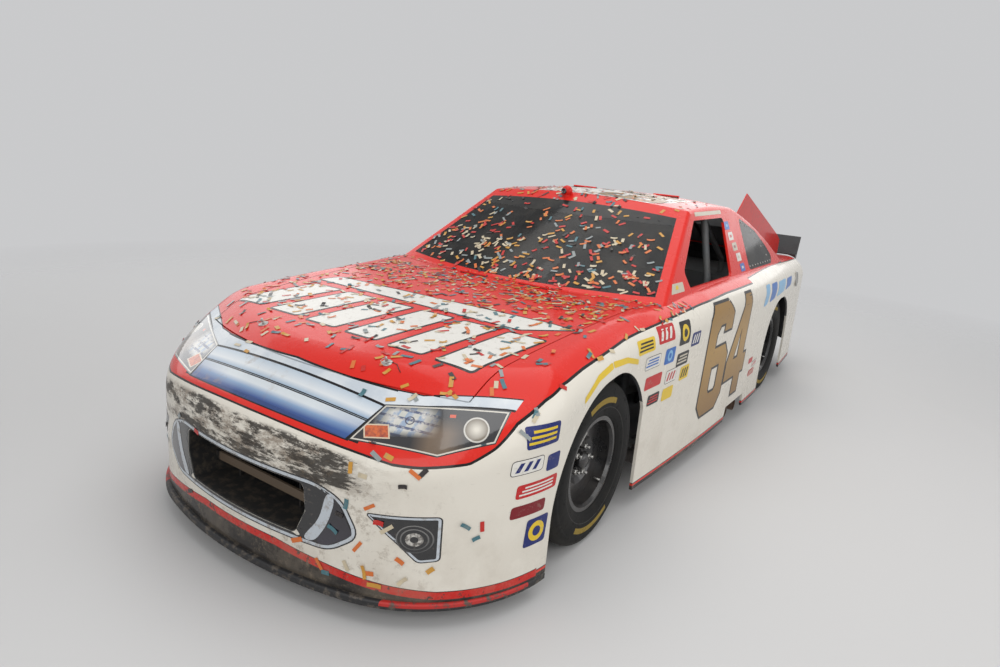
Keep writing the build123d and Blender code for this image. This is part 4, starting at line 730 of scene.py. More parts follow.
# The fog lamps: dark film with a silver line round it, low on each corner of the nose, with a
# printed ringed lens and four short bars.
print_pale = Finish("print_pale", (0.52, 0.50, 0.46), Roughness=0.2, Coat_Weight=0.6)
print_pale.age((0.10, 0.09, 0.08), 60, 3, 0.6, 0.4, 0.6)
satin_ring = Finish("satin_ring", (0.05, 0.05, 0.05), Roughness=0.3, Coat_Weight=0.6)
satin_ring.cover(satin_ring.fade(satin_ring.place()[2], 0.29, 0.37), (0.17, 0.165, 0.16))
FOG_FRAME = rounded([(0.560, 0.404), (0.764, 0.412), (0.764, 0.258), (0.712, 0.250), (0.664, 0.306)], 0.012)
FOG_RINGS = ((0.050, satin_ring), (0.046, print_black), (0.038, satin_ring), (0.034, print_black),
             (0.024, print_pale), (0.011, print_black))
fog = Film(nose_face, "front")
for fog.way in (1, -1):
    fog.lay([grown(FOG_FRAME, 0.004)], print_black, 0.0006)
    fog.lay([FOG_FRAME], print_silver, 0.0009)
    fog.lay([grown(FOG_FRAME, -0.007)], print_black, 0.0012)
    for k, (radius, finish) in enumerate(FOG_RINGS):
        fog.lay([disc((0.700, 0.334), radius)], finish, 0.0018 + 0.0006 * k, 0.012)
    for k in range(4):
        start, top = 0.588 + 0.020 * k, 0.392 - 0.022 * k
        bar = [(start, top), (0.645, top), (0.648, top - 0.004), (start + 0.003, top - 0.004)]
        fog.lay([bar], pocket_print, 0.0014, 0.02)
fog.piece("fog_lamp_film", "body", "lamp_print")

# The splitter: a flat black composite board under the nose, worn along its edge, with a trace of red
# paint at its corners.
board = Finish("splitter_board", (0.016, 0.016, 0.017), Roughness=0.55)
x, y, z = board.place()
worn = board.age((0.09, 0.075, 0.06), 34, 4, 0.7, 0.52, 0.62)
board.cover((z > 0.085) & (abs(x) > 0.62) & (y < -2.0) & (1 - worn), (0.45, 0.02, 0.016))
refinish(board, "splitter")

# Hood fittings: a pair of steel pins near the front edge, each with a scuff plate, a spring clip and a
# short lanyard.
hood_top = surface("hood")
pins = Bench()
for side in (1, -1):
    place, up = touch(hood_top, "top", side * 0.346, -2.135)
    pins.turned([(0.021, 0), (0.021, 0.0015), (0.018, 0.0025), (0.006, 0.0026)], place, up, plain_steel, 28)
    pins.rod(place, place + up * 0.026, 0.0048, plain_steel)
    cross = up.cross(Vector((0, 1, 0))).normalized()
    back = cross.cross(up)
    clip = [place + up * 0.014 + cross * (0.016 * math.cos(k * 0.5))
            + back * (0.012 * math.sin(k * 0.5) - 0.008) for k in range(13)]
    pins.pipe(clip, 0.0014, plain_steel, 6)
    lanyard = [place + Vector((side * 0.02 * k, 0.014 * math.sin(k * 1.1), 0)) + up * 0.006 for k in range(5)]
    lanyard = [touch(hood_top, "top", p.x, p.y, 0.0022)[0] for p in lanyard]
    pins.pipe(lanyard, 0.0013, satin_black, 6)
pins.piece("hood_pins", "hood", "engine_metal")

# Race numbers and patches: cut vinyl film laid on the doors, fenders and panels. The numbers are gold
# with a black edge, and the patches are plain coloured shapes.
gold = Finish("gold_film", (0.24, 0.125, 0.030), Roughness=0.32, Coat_Weight=0.15, Specular_IOR_Level=0.2)
height = gold.place()[2]
gold.cover(gold.fade(height, 0.25, 0.62), (0.40, 0.235, 0.060))
gold.cover(gold.fade(height, 0.62, 0.92), (0.26, 0.140, 0.032))
gold.age((0.12, 0.08, 0.04), 45, 4, 0.75, 0.58, 0.68, 0.4)


def vinyl(name, colour):
    """A patch film in one ink, scuffed and dusty."""
    made = Finish(name, colour, Roughness=0.32, Coat_Weight=0.15, Specular_IOR_Level=0.2)
    made.age((0.30, 0.26, 0.21), 38, 5, 0.78, 0.55, 0.66, 0.35)
    return made


INK = {name: vinyl("ink_" + name, colour) for name, colour in (
    ("navy", (0.012, 0.022, 0.14)), ("blue", (0.03, 0.14, 0.46)), ("sky", (0.22, 0.45, 0.68)),
    ("yellow", (0.72, 0.50, 0.03)), ("red", (0.50, 0.018, 0.02)), ("wine", (0.19, 0.012, 0.018)),
    ("black", (0.012, 0.012, 0.013)), ("white", (0.72, 0.70, 0.65)), ("pale", (0.55, 0.50, 0.40)))}
SIX = [[(0.07, 0), (0.30, 0), (0.37, 0.07), (0.37, 0.30), (0.30, 0.37), (0.125, 0.37), (0.125, 0.45),
        (0.17, 0.495), (0.245, 0.495), (0.245, 0.45), (0.37, 0.45), (0.37, 0.54), (0.30, 0.61), (0.07, 0.61),
        (0, 0.54), (0, 0.07)],
       [(0.125, 0.135), (0.125, 0.265), (0.245, 0.265), (0.245, 0.135), (0.225, 0.115), (0.145, 0.115)]]
FOUR = [[(0.20, 0), (0.325, 0), (0.325, 0.12), (0.385, 0.12), (0.385, 0.235), (0.325, 0.235), (0.325, 0.61),
         (0.21, 0.61), (0, 0.235), (0, 0.12), (0.20, 0.12)],
        [(0.115, 0.235), (0.20, 0.235), (0.20, 0.415)]]


def digits(film, spaced, spot, edge, edge_lift, lift):
    """The race number, in gold on a wider black one."""
    for digit, shift in ((SIX, 0), (FOUR, spaced)):
        outer, inner = [[spot(a + shift, b) for a, b in loop] for loop in digit]
        film.lay([grown(outer, edge), grown(inner, -edge)], INK["black"], edge_lift)
        film.lay([outer, inner], gold, lift)


# Place along the car and up, width and height, the patch's ink, its mark's ink, and its mark
PATCHES = (
    (-1.115, 0.800, 0.170, 0.060, "yellow", "black", "bars"),
    (-0.905, 0.822, 0.170, 0.075, "red", "white", "slash"),
    (-0.700, 0.796, 0.124, 0.112, "black", "yellow", "disc"),
    (-0.555, 0.745, 0.110, 0.070, "navy", "white", "slash"),
    (-1.040, 0.715, 0.150, 0.055, "white", "blue", "bars"),
    (-0.860, 0.712, 0.110, 0.075, "blue", "sky", "disc"),
    (-0.700, 0.668, 0.140, 0.066, "black", "pale", "bars"),
    (-1.010, 0.618, 0.170, 0.060, "red", "red", "plain"),
    (-0.815, 0.604, 0.120, 0.060, "white", "red", "slash"),
    (-0.650, 0.588, 0.110, 0.070, "yellow", "black", "slash"),
    (-0.985, 0.528, 0.120, 0.052, "black", "red", "bars"),
    (-0.830, 0.520, 0.120, 0.060, "yellow", "yellow", "plain"),
    (0.60, 0.40, 0.10, 0.035, "red", "white", "plain"),
    (0.72, 0.36, 0.12, 0.035, "white", "red", "bars"),
    (0.66, 0.31, 0.14, 0.04, "red", "pale", "slash"),
    (-1.985, 0.655, 0.150, 0.075, "navy", "yellow", "bars"),
    (-2.050, 0.560, 0.130, 0.050, "white", "navy", "slash"),
    (-1.930, 0.548, 0.070, 0.060, "navy", "navy", "plain"),
    (-1.995, 0.470, 0.190, 0.050, "red", "white", "bars"),
    (-2.030, 0.396, 0.150, 0.045, "wine", "wine", "plain"),
    (-1.985, 0.300, 0.105, 0.105, "navy", "yellow", "disc"),
)
ARCH = [(-1.735, 0.697), (-1.60, 0.752), (-1.46, 0.772), (-1.32, 0.764), (-1.20, 0.732)]
for side, way, start in (("left", 1, -0.385), ("right", -1, -0.40)):
    marks = Film(surface("fender_" + side, "door_" + side, "quarter_" + side, "nose"), side)
    digits(marks, 0.40, lambda a, b: (start + a + b * 0.07, 0.262 + b), 0.014, 0.0007, 0.0012)
    marks.way = way
    for a, b, width, height, base, mark, kind in PATCHES:

        def leaned(across, up):
            return a + across * width + up * height * 0.10 * way, b + up * height

        corners = ((-0.5, -0.5), (0.5, -0.5), (0.5, 0.5), (-0.5, 0.5))
        patch = rounded([leaned(*corner) for corner in corners], 0.012)
        if base == "white":
            marks.lay([grown(patch, 0.0025)], INK["black"], 0.0005)
        marks.lay([patch], INK[base], 0.0008)
        for k in (-1, 0, 1):
            if kind == "bars":
                end = 0.01 * k / width - 0.38
                low, high = k * 0.24 - 0.06, k * 0.24 + 0.06
                marks.lay([[leaned(end, low), leaned(0.38, low), leaned(0.38, high), leaned(end, high)]],
                          INK[mark], 0.0013)
            elif kind == "slash":
                middle = k * 0.26
                marks.lay([[leaned(middle - 0.13, -0.32), leaned(middle, -0.32), leaned(middle + 0.13, 0.32),
                            leaned(middle, 0.32)]], INK[mark], 0.0013)
        if kind == "disc":
            marks.lay([disc((a, b), height * 0.36)], INK[mark], 0.0013)
            marks.lay([disc((a, b), height * 0.18)], INK[base], 0.0018)
    for one, two in ((0, 3), (2, 5)):
        stripe = ARCH[one:two] + [(a, b + 0.030) for a, b in ARCH[one:two]][::-1]
        marks.lay([grown(rounded(stripe, 0.012), -0.003)], INK["yellow"], 0.0008)
    for k, (start_y, width) in enumerate(((0.70, 0.10), (0.86, 0.16), (1.08, 0.24), (1.38, 0.20))):
        foot, head, end_y = 0.735 + 0.012 * k, 0.872 - 0.008 * k, start_y + width
        swoosh = [(start_y, foot), (end_y, foot + 0.012), (end_y + 0.06, head), (start_y + 0.05, head)]
        marks.lay([rounded(swoosh, 0.02)], INK["blue" if k % 2 else "sky"], 0.0008)
    marks.piece("patches_" + side, "body", "paint_white")

# Marks on the roof and pillars: a white panel under the roof number, pale strips over the side
# windows, and small patches on the pillars, all cut from film.
roof_top = surface("roof")
roof_marks = Film(roof_top, "top")
panel = [(-0.33, -0.10), (0.42, -0.10), (0.50, 0.06), (0.50, 0.40), (-0.33, 0.40)]
roof_marks.lay([rounded(panel, 0.02)], INK["white"], 0.0006)
digits(roof_marks, 0.42, lambda a, b: (0.46 - b * 0.66, -0.065 + a * 0.54), 0.008, 0.0010, 0.0014)
for roof_marks.view, roof_marks.way in (("left", 1), ("right", -1)):
    roof_marks.lay([[(-0.02, 1.302), (0.46, 1.306), (0.46, 1.328), (-0.02, 1.324)]], INK["pale"])
    for k, (ink, mark) in enumerate((("blue", "sky"), ("white", "red"), ("pale", "wine"), ("white", "pale"),
                                     ("blue", "white"))):
        a, b = 0.515 + 0.030 * k, 1.236 - 0.064 * k
        square = [(a - 0.046, b - 0.025), (a + 0.048, b - 0.023), (a + 0.046, b + 0.025),
                  (a - 0.048, b + 0.023)]
        roof_marks.lay([rounded(square, 0.006)], INK[ink])
        inner = [(a - 0.018, b - 0.008), (a + 0.018, b - 0.007), (a + 0.017, b + 0.008),
                 (a - 0.019, b + 0.007)]
        roof_marks.lay([inner], INK[mark], 0.0013)
    label = [(-0.640, 0.952), (-0.455, 0.950), (-0.452, 0.996), (-0.598, 0.998)]
    roof_marks.lay([rounded(label, 0.008)], INK["pale"])
    block = [(-0.570, 0.968), (-0.530, 0.968), (-0.528, 0.986), (-0.560, 0.986)]
    roof_marks.lay([block], INK["yellow"], 0.0013)
roof_marks.piece("roof_marks", "body", "paint_white")

# The hood's large mark: six slanted white bars with a long swept stripe behind them, cut from vinyl
# film and laid over a slightly larger black one.
hood_marks = Film(hood_top, "top")
for k in range(6):
    foot, head = -0.71 + 0.238 * k, -0.61 + 0.228 * k
    front_y, back_y = -1.990 - 0.006 * k, -1.625
    bar = [(foot, front_y), (foot + 0.158, front_y + 0.002), (head + 0.163, back_y), (head, back_y - 0.004)]
    bar = rounded(bar, 0.012)
    hood_marks.lay([grown(bar, 0.012)], INK["black"], 0.0006)
    hood_marks.lay([bar], INK["white"], 0.0011)
sweep = rounded([(-0.66, -1.555), (0.54, -1.575), (0.72, -1.44), (0.60, -1.425), (-0.62, -1.460)], 0.015)
hood_marks.lay([grown(sweep, 0.011)], INK["black"], 0.0006)
hood_marks.lay([sweep], INK["white"], 0.0011)
hood_marks.piece("hood_marks", "hood", "paint_white")

# The glass: clear sheet tinted dark, with a black band along the top of the windshield, held at its
# edges by small fasteners and braced from inside by flat upright straps.
glass = Finish("tinted_glass", (0.010, 0.011, 0.012), Specular_IOR_Level=0.16)
x, y, z = glass.place()
haze = glass.age((0.05, 0.046, 0.04), 4, 5, 0.7, 0.35, 0.75, 1.0, (0.05, 0.12))
glass.put(Alpha=0.70 + (z > 1.252) * (y < 0) * 0.30 + haze * 0.12)
glass.material.surface_render_method = "BLENDED"
refinish(glass, "windshield", "rear_window", "side_windows")
fasteners = Bench()
narrow, broad = ([k / 100 for k in range(-reach, reach + 1, 12)] for reach in (54, 66))
pane_foot = [(0.80 + 0.066 * k, 0.972) for k in range(9)]
pane_head = [(0.84 + 0.085 * k, 1.248 - 0.026 * k - 0.0042 * k * k) for k in range(6)]
for name, view, finish, spots in (
    ("windshield", "top", satin_black, [(a, -0.845 + 0.16 * a ** 2) for a in broad]),
    ("windshield", "top", satin_black, [(a, -0.262 + 0.14 * a ** 2) for a in narrow]),
    ("rear_window", "top", satin_black, [(a, 1.625) for a in narrow]),
    ("side_windows", "left", plain_steel, pane_foot + pane_head),
    ("side_windows", "right", plain_steel, [(-a, b) for a, b in pane_foot + pane_head]),
):
    pane = surface(name)
    for a, b in spots:
        place, out = touch(pane, view, a, b)
        if place is not None:
            fasteners.turned([(0.0065, 0), (0.0065, 0.0012), (0.0045, 0.0030), (0.0015, 0.0034)],
                             place, out, finish, 12)
fasteners.piece("window_fasteners", "body", "engine_metal")
straps = Bench()
for name, across, start_y, step_y, drawn_in, lift, width, thick, edge, finish in (
    ("windshield", 0.24, -0.80, 0.062, 0.10, -0.009, 0.022, 0.003, 0.0008, plain_steel),
    ("rear_window", 0.22, 0.92, 0.074, 0.0, 0.0022, 0.028, 0.0022, 0.0006, satin_black),
):
    pane = surface(name)
    for side in (-1, 1):
        rows = [touch(pane, "top", side * across * (1 - drawn_in * k / 9), start_y + step_y * k, lift)[0]
                for k in range(10)]
        rows = [p for p in rows if p is not None]
        for one, two in zip(rows, rows[1:]):
            straps.slab((one + two) / 2, (width, (two - one).length + 0.002, thick), finish, edge,
                        Matrix.Rotation(math.atan2(two.z - one.z, two.y - one.y), 4, "X"))
straps.piece("glass_straps", "body", "black_plastic")

# The fin and the camera pod on the roof: red sheet and a red moulded shell with a dark lens, and two
# short aerials.
fin_red = Finish("fin_red", (0.60, 0.020, 0.014), Roughness=0.25, Coat_Weight=0.2, Specular_IOR_Level=0.12)
fin_red.age((0.34, 0.03, 0.02), 16, 5, 0.7, 0.5, 0.7, 0.5)
refinish(fin_red, "roof_fin", "roof_camera")
lens_glass = Finish("lens_glass", (0.008, 0.008, 0.012), Roughness=0.05, Coat_Weight=1.0)
lens_glass.age((0.02, 0.016, 0.03), 200, 1, 0.5, 0.4, 0.6)
pod = Bench()
pod_low, pod_high = (Vector(v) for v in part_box("roof_camera"))
pod.turned([(0.017, 0), (0.017, 0.006), (0.0135, 0.008), (0.0125, 0.006), (0.002, 0.0045)],
           ((pod_low.x + pod_high.x) / 2, pod_low.y - 0.002, pod_high.z - 0.034), (0, -1, 0), lens_glass, 28)
for k in range(2):
    spot, up = touch(roof_top, "top", 0.12 + 0.16 * k, -0.19)
    pod.turned([(0.012, 0), (0.012, 0.003), (0.004, 0.006), (0.0022, 0.012), (0.0016, 0.012)], spot, up,
               satin_black, 16)
    pod.rod(spot, spot + Vector((0, 0.006, 0.018)), 0.0012, satin_black, 6)
pod.piece("roof_camera_lens", "body", "black_plastic")

# The spoiler: a black composite board on the deck lid, with thin upright braces behind it and a row
# of screws along its foot.
board_black = Finish("spoiler_board", (0.013, 0.013, 0.014))
x, y, z = board_black.place()
weave = ((x + z) * 260).math("SINE") * ((x - z) * 260).math("SINE")
board_black.cover(weave > 0.0, (0.024, 0.024, 0.026))
board_black.put(Roughness=0.30 + board_black.patches(10, 4, 0.7, 0.4, 0.7) * 0.25)
refinish(board_black, "spoiler", "fuel_cell")
deck_top = surface("decklid")
spoiler_fit = Bench()
for k in range(5):
    across = -0.52 + 0.26 * k
    foot, _ = touch(deck_top, "top", across, 2.322)
    if foot is not None:
        top = Vector((across, 2.355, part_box("spoiler")[1][2] - 0.045))
        corners = [end + Vector((half, depth, 0)) for half in (-0.0015, 0.0015)
                   for end, depth in ((foot, -0.006), (foot, 0.004), (top, 0.003), (top, -0.006))]
        sides = [(0, 1, 2, 3), (7, 6, 5, 4), (0, 4, 5, 1), (1, 5, 6, 2), (2, 6, 7, 3), (3, 7, 4, 0)]
        spoiler_fit.take(corners, sides, satin_black)
for k in range(13):
    spot, up = touch(deck_top, "top", -0.60 + 0.10 * k, 2.275)
    if spot is not None:
        spoiler_fit.turned([(0.006, 0), (0.006, 0.0065), (0.004, 0.0085), (0.001, 0.009)], spot, up,
                           plain_steel, 12)
spoiler_fit.piece("spoiler_fittings", "decklid", "black_plastic")

# The tail: printed tail-lamp films on the closed panel, a dark lower bumper print and a fuel filler
# on the left quarter panel.
tail_face = surface("tail", "quarter_left", "quarter_right")
lamp_red = vinyl("tail_lamp_red", (0.36, 0.008, 0.010))
reverse_print = Finish("reverse_print", (0.28, 0.28, 0.30), Roughness=0.2, Coat_Weight=0.6)
reverse_print.cover(reverse_print.fade(reverse_print.place()[2], 0.735, 0.80), (0.60, 0.59, 0.57))
TAIL_LAMP = rounded([(0.30, 0.700), (0.80, 0.716), (0.80, 0.800), (0.66, 0.842), (0.34, 0.838),
                     (0.285, 0.790)], 0.02)
REVERSE_LAMP = rounded([(0.36, 0.735), (0.56, 0.742), (0.56, 0.800), (0.38, 0.800)], 0.012)
LOW_PRINT = rounded([(-0.62, 0.235), (0.62, 0.235), (0.70, 0.33), (0.60, 0.40), (-0.60, 0.40),
                     (-0.70, 0.33)], 0.03)
tail_film = Film(tail_face, "rear")
tail_film.lay([grown(LOW_PRINT, 0.006)], print_silver, 0.0009, 0.02)
tail_film.lay([LOW_PRINT], print_black, 0.0015, 0.02)
for tail_film.way in (1, -1):
    tail_film.lay([grown(TAIL_LAMP, 0.005)], INK["black"], 0.0009, 0.02)
    tail_film.lay([TAIL_LAMP], print_silver, 0.0015, 0.02)
    tail_film.lay([grown(TAIL_LAMP, -0.008)], lamp_red, 0.0021, 0.02)
    tail_film.lay([REVERSE_LAMP], reverse_print, 0.0027, 0.02)
    for k in range(4):
        near, far = 0.738 + 0.020 * k, 0.742 + 0.019 * k
        bar = [(0.59, near), (0.76, far), (0.76, far + 0.006), (0.59, near + 0.006)]
        tail_film.lay([bar], INK["wine"], 0.0027, 0.02)
tail_film.piece("tail_film", "body", "lamp_print")
filler = Bench()
place, out = touch(tail_face, "left", 1.86, 0.80)
filler.turned([(0.060, 0), (0.060, 0.002), (0.054, 0.005), (0.040, 0.0052), (0.038, 0.003), (0.012, 0.003)],
              place, out, plain_steel, 40)
side_on = out.orthogonal().normalized()
round_on = out.cross(side_on)
for a, b in circle(0.048, 8):
    spot = place + side_on * a + round_on * b + out * 0.004
    filler.turned([(0.003, 0), (0.003, 0.0012), (0.001, 0.0016)], spot, out, satin_black, 8)
filler.piece("fuel_filler", "body", "engine_metal")

# The exhaust: two round steel pipes, dull and spotted where they are cool, browned by heat along
# their length.
hot_steel = Finish("hot_steel", (0.30, 0.27, 0.25), Metallic=0.9)
hot_steel.cover(hot_steel.fade(hot_steel.place()[1], -0.8, 0.4), (0.20, 0.13, 0.09))
hot_steel.age((0.08, 0.07, 0.075), 18, 5, 0.7, 0.45, 0.65, 0.6)
hot_steel.put(Roughness=0.38 + hot_steel.patches(30, 3, 0.7, 0.4, 0.7) * 0.3)
refinish(hot_steel, "exhaust")

# The seat: a sheet bucket sprayed black, with head and shoulder wings, lined with stitched fabric
# pads over foam, and two red shoulder webs and two lap webs that meet in one buckle.
cloth = Finish("seat_cloth", (0.020, 0.020, 0.022), Roughness=0.9)
x, y, z = cloth.place()
ribs = (x * 900).math("SINE") * (z * 900 + y * 900).math("SINE")
cloth.cover(ribs > 0, (0.036, 0.036, 0.04))
cloth.age((0.06, 0.058, 0.055), 8, 4, 0.7, 0.4, 0.7)
cloth.bump(ribs, 0.3, 0.0008)
belt_web = Finish("belt_web", (0.32, 0.012, 0.014), Roughness=0.75)
threads = (belt_web.place()[0] * 1400).math("SINE")
belt_web.cover(threads > 0, (0.40, 0.02, 0.02))
belt_web.bump(threads, 0.3, 0.0006)
SEAT_X = 0.34
# Place of the seat's middle line along the car and up, half its width, and the depth of its wings
SPINE = ((-0.14, 0.385, 0.19, 0.055), (-0.02, 0.335, 0.20, 0.085), (0.12, 0.325, 0.205, 0.11),
         (0.185, 0.40, 0.205, 0.13), (0.205, 0.52, 0.205, 0.13), (0.225, 0.66, 0.205, 0.12),
         (0.245, 0.80, 0.20, 0.13), (0.262, 0.90, 0.17, 0.12), (0.275, 0.98, 0.14, 0.15),
         (0.285, 1.06, 0.13, 0.15))
bucket = Bench()
sheet = bmesh.new()
rows = []
for spine_y, spine_z, half, wing in SPINE:
    wing_way = Vector((0, -1, 0)) if spine_y > 0.15 else Vector((0, 0, 1))
    middle = Vector((SEAT_X, spine_y, spine_z))
    section = ((-1.0, wing), (-0.99, wing * 0.5), (-0.92, 0.012), (-0.5, 0), (0, -0.004), (0.5, 0),
               (0.92, 0.012), (0.99, wing * 0.5), (1.0, wing))
    rows.append([sheet.verts.new(middle + Vector((share * half, 0, 0)) + wing_way * depth)
                 for share, depth in section])
for near, far in zip(rows, rows[1:]):
    for k in range(8):
        sheet.faces.new((near[k], near[k + 1], far[k + 1], far[k]))
bmesh.ops.recalc_face_normals(sheet, faces=sheet.faces)
bmesh.ops.subdivide_edges(sheet, edges=sheet.edges[:], cuts=1, smooth=0.6, use_grid_fill=True)
bmesh.ops.solidify(sheet, geom=sheet.faces[:], thickness=0.004)
bucket.form(sheet, satin_black, True)
for side in (1, -1):
    bucket.slab((SEAT_X + side * 0.16, 0.06, 0.245), (0.02, 0.32, 0.17), satin_black, 0.004)
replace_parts(bucket.piece("seat_bucket", "body", "black_fabric"), "seat")


def swelled(cover, cap=0.007):
    """Blows a pad's cover up from inside, as foam fills its cloth, then leaves the shape."""
    def as_it_stands():
        return bpy.data.meshes.new_from_object(cover.evaluated_get(bpy.context.evaluated_depsgraph_get()))

    thin = cover.modifiers.new("voxels", "REMESH")
    thin.mode, thin.voxel_size = "VOXEL", 0.006
    shape = as_it_stands()
    cover.modifiers.clear()
    cover.data = shape
    rest = [v.co.copy() for v in shape.vertices]
    cloth_sim = cover.modifiers.new("cover", "CLOTH")
    cloth_sim.settings.use_pressure = True
    cloth_sim.settings.uniform_pressure_force = 4
    cloth_sim.settings.effector_weights.gravity = 0
    for moment in range(1, 21):
        scene.frame_set(moment)
    blown = as_it_stands()
    cover.modifiers.clear()
    for vertex, begin, end in zip(shape.vertices, rest, blown.vertices):
        move = end.co - begin
        vertex.co = begin + move * min(1, cap / max(move.length, 1e-6))
    scene.frame_set(1)


piping = Bench()


def pad(name, place, size, channels=()):
    """A crowned foam pad in stitched cloth: full in the middle, drawn in at its seams and piped edge."""
    cut = bmesh.new()
    bmesh.ops.create_cube(cut, size=2)
    bmesh.ops.subdivide_edges(cut, edges=cut.edges[:], cuts=11, use_grid_fill=True)
    for vertex in cut.verts:
        a, b, c = vertex.co
        plump = 0.34 + 0.60 * math.sqrt(max(0.0, (1 - a ** 4) * (1 - b ** 4)))
        groove = max([math.exp(-((b - line) / 0.05) ** 2) for line in channels], default=0)
        draw = 0.97 - 0.03 * (a * a) * (1 - abs(b)) - 0.02 * (b * b) * (1 - abs(a))
        vertex.co = (a * draw * size[0] / 2, b * draw * size[1] / 2,
                     c * size[2] / 2 * plump * (1 - 0.45 * groove * (c > 0)))
    cover = Bench()
    cover.form(cut, cloth, True, place)
    edge = []
    for a, b in circle(1, 48):
        stretch = 0.485 / max(abs(a), abs(b)) * (1 - 0.10 * abs(a * b))
        edge.append(place @ Vector((a * stretch * size[0], b * stretch * size[1], 0)))
    piping.pipe(edge, 0.0032, satin_black, 8, True)
    made = cover.piece(name, "body", "black_fabric")
    swelled(made)
    made.data.shade_smooth()
    made.modifiers.new("smooth", "SUBSURF").levels = 1
    made.modifiers["smooth"].render_levels = 1


for name, pad_y, pad_z, size, lean, channels in (
    ("seat_cushion", -0.005, 0.372, (0.35, 0.27, 0.055), -13, (-0.35, 0.3)),
    ("seat_back_low", 0.180, 0.545, (0.34, 0.25, 0.05), 82, (-0.3, 0.3)),
    ("seat_back_high", 0.214, 0.775, (0.32, 0.20, 0.045), 82, (0.0,)),
    ("head_pad", 0.243, 0.985, (0.20, 0.14, 0.045), 84, ()),
):
    turn = Matrix.Rotation(math.radians(lean), 4, "X")
    pad(name, Matrix.Translation((SEAT_X, pad_y, pad_z)) @ turn, size, channels)
for side, name in ((1, "left"), (-1, "right")):
    turn = Matrix.Rotation(side * -math.pi / 2, 4, "Z") @ Matrix.Rotation(math.pi / 2, 4, "X")
    pad("head_wing_" + name, Matrix.Translation((SEAT_X + side * 0.118, 0.205, 0.985)) @ turn,
        (0.11, 0.12, 0.034))
piping.piece("seat_piping", "body", "black_fabric")
SHOULDER_WEB = [(0.075, 0.268, 0.90), (0.075, 0.235, 0.905), (0.072, 0.192, 0.86), (0.066, 0.158, 0.76),
                (0.055, 0.132, 0.64), (0.038, 0.100, 0.52), (0.02, 0.062, 0.445)]
LAP_WEB = [(0.20, 0.10, 0.40), (0.15, 0.06, 0.435), (0.08, 0.03, 0.440), (0.02, 0.02, 0.438)]
belts = Bench()
for side in (1, -1):
    shoulder, lap = ([Vector((SEAT_X + side * a, b, c)) for a, b, c in web]
                     for web in (SHOULDER_WEB, LAP_WEB))
    for one, two in zip(shoulder, shoulder[1:]):
        lean = math.atan2(one.y - two.y, two.z - one.z) + math.pi
        belts.slab((one + two) / 2, (0.048, 0.0022, (two - one).length + 0.004), belt_web, 0.0006,
                   Matrix.Rotation(lean, 4, "X"))
    for one, two in zip(lap, lap[1:]):
        belts.slab((one + two) / 2, ((two - one).length + 0.006, 0.048, 0.0022), belt_web, 0.0006,
                   (two - one).to_track_quat("X", "Z").to_matrix().to_4x4())
belts.slab((SEAT_X, 0.035, 0.445), (0.055, 0.06, 0.014), plain_steel, 0.004)
belts.piece("belts", "body", "black_fabric")

# The dash and controls: a folded panel in satin black with round dials and a row of switches in red
# blocks, a gear lever on the tunnel, and a steering wheel wrapped in grip tape.
refinish(satin_black, "dashboard")
grip = Finish("grip_wrap", (0.022, 0.022, 0.022), Roughness=0.85)
grip.age((0.06, 0.055, 0.05), 60, 4, 0.7, 0.45, 0.6)
grip.bump(grip.noise(400, 2), 0.4, 0.0008)
refinish(grip, "steering_wheel")
dial_face = Finish("dial_face", (0.60, 0.60, 0.57), Roughness=0.3, Coat_Weight=0.6)
dial_face.age((0.05, 0.05, 0.05), 300, 2, 0.5, 0.6, 0.62)
dash = Bench()
dash_face = surface("dashboard")
for dial_x, dial_z, radius in ((0.24, 0.825, 0.036), (0.34, 0.845, 0.052), (0.44, 0.825, 0.036),
                               (0.14, 0.825, 0.028), (0.54, 0.825, 0.028)):
    face, _ = touch(dash_face, "rear", dial_x, dial_z)
    if face is not None:
        out = Vector((0, 1, 0.1)).normalized()
        rim = [(1, -0.006), (1, 0.006), (0.92, 0.008), (0.90, 0.005), (0.2, 0.005)]
        dash.turned([(radius * share, along) for share, along in rim], face, out, satin_black, 28)
        dash.turned([(radius * 0.88, 0.0), (radius * 0.88, 0.0058), (0.002, 0.0058)], face, out, dial_face,
                    28)
        needle = face + out * 0.0065
        dash.rod(needle, needle + Vector((radius * 0.5, 0, radius * 0.5)), 0.0012, INK["red"], 6)
for k in range(6):
    face, _ = touch(dash_face, "rear", -0.06 - 0.045 * k, 0.83)
    if face is not None:
        dash.slab(face + Vector((0, 0.004, 0)), (0.018, 0.010, 0.030), INK["red"], 0.003)
        dash.rod(face + Vector((0, 0.006, 0)), face + Vector((0, 0.026, 0.008)), 0.003, plain_steel, 8)
dash.piece("dash_dials", "body", "black_plastic")
lever = Bench()
lever.turned([(0.055, 0), (0.045, 0.015), (0.02, 0.05), (0.012, 0.06)], (0.02, -0.28, 0.520), (0, 0, 1),
             grip, 24)
lever.pipe([(0.02, -0.28, 0.56), (0.03, -0.27, 0.64), (0.05, -0.25, 0.72), (0.065, -0.235, 0.765)], 0.008,
           plain_steel, 12)
lever.turned([(0.012, 0), (0.024, 0.008), (0.027, 0.022), (0.020, 0.036), (0.006, 0.040)],
             (0.066, -0.234, 0.762), (0.2, 0.2, 1), satin_black, 20)
lever.piece("gear_lever", "body", "black_plastic")

# Roll-bar padding: dense black foam sleeves pushed over the bars beside the driver's head and knees,
# and held by rings of tape.
foam = Finish("bar_foam", (0.022, 0.022, 0.022), Roughness=0.95)
foam.cover((foam.place()[1] * 22).math("FRACT") < 0.10, (0.06, 0.06, 0.06))
foam.bump(foam.noise(120), 0.3, 0.001)
sleeves = Bench()
for start, end in (((0.56, 0.02, 1.28), (0.56, 0.38, 1.28)), ((0.63, -0.54, 1.0), (0.575, -0.16, 1.22))):
    sleeves.rod(start, end, 0.034, foam, 20)
sleeves.piece("bar_padding", "body", "black_fabric")

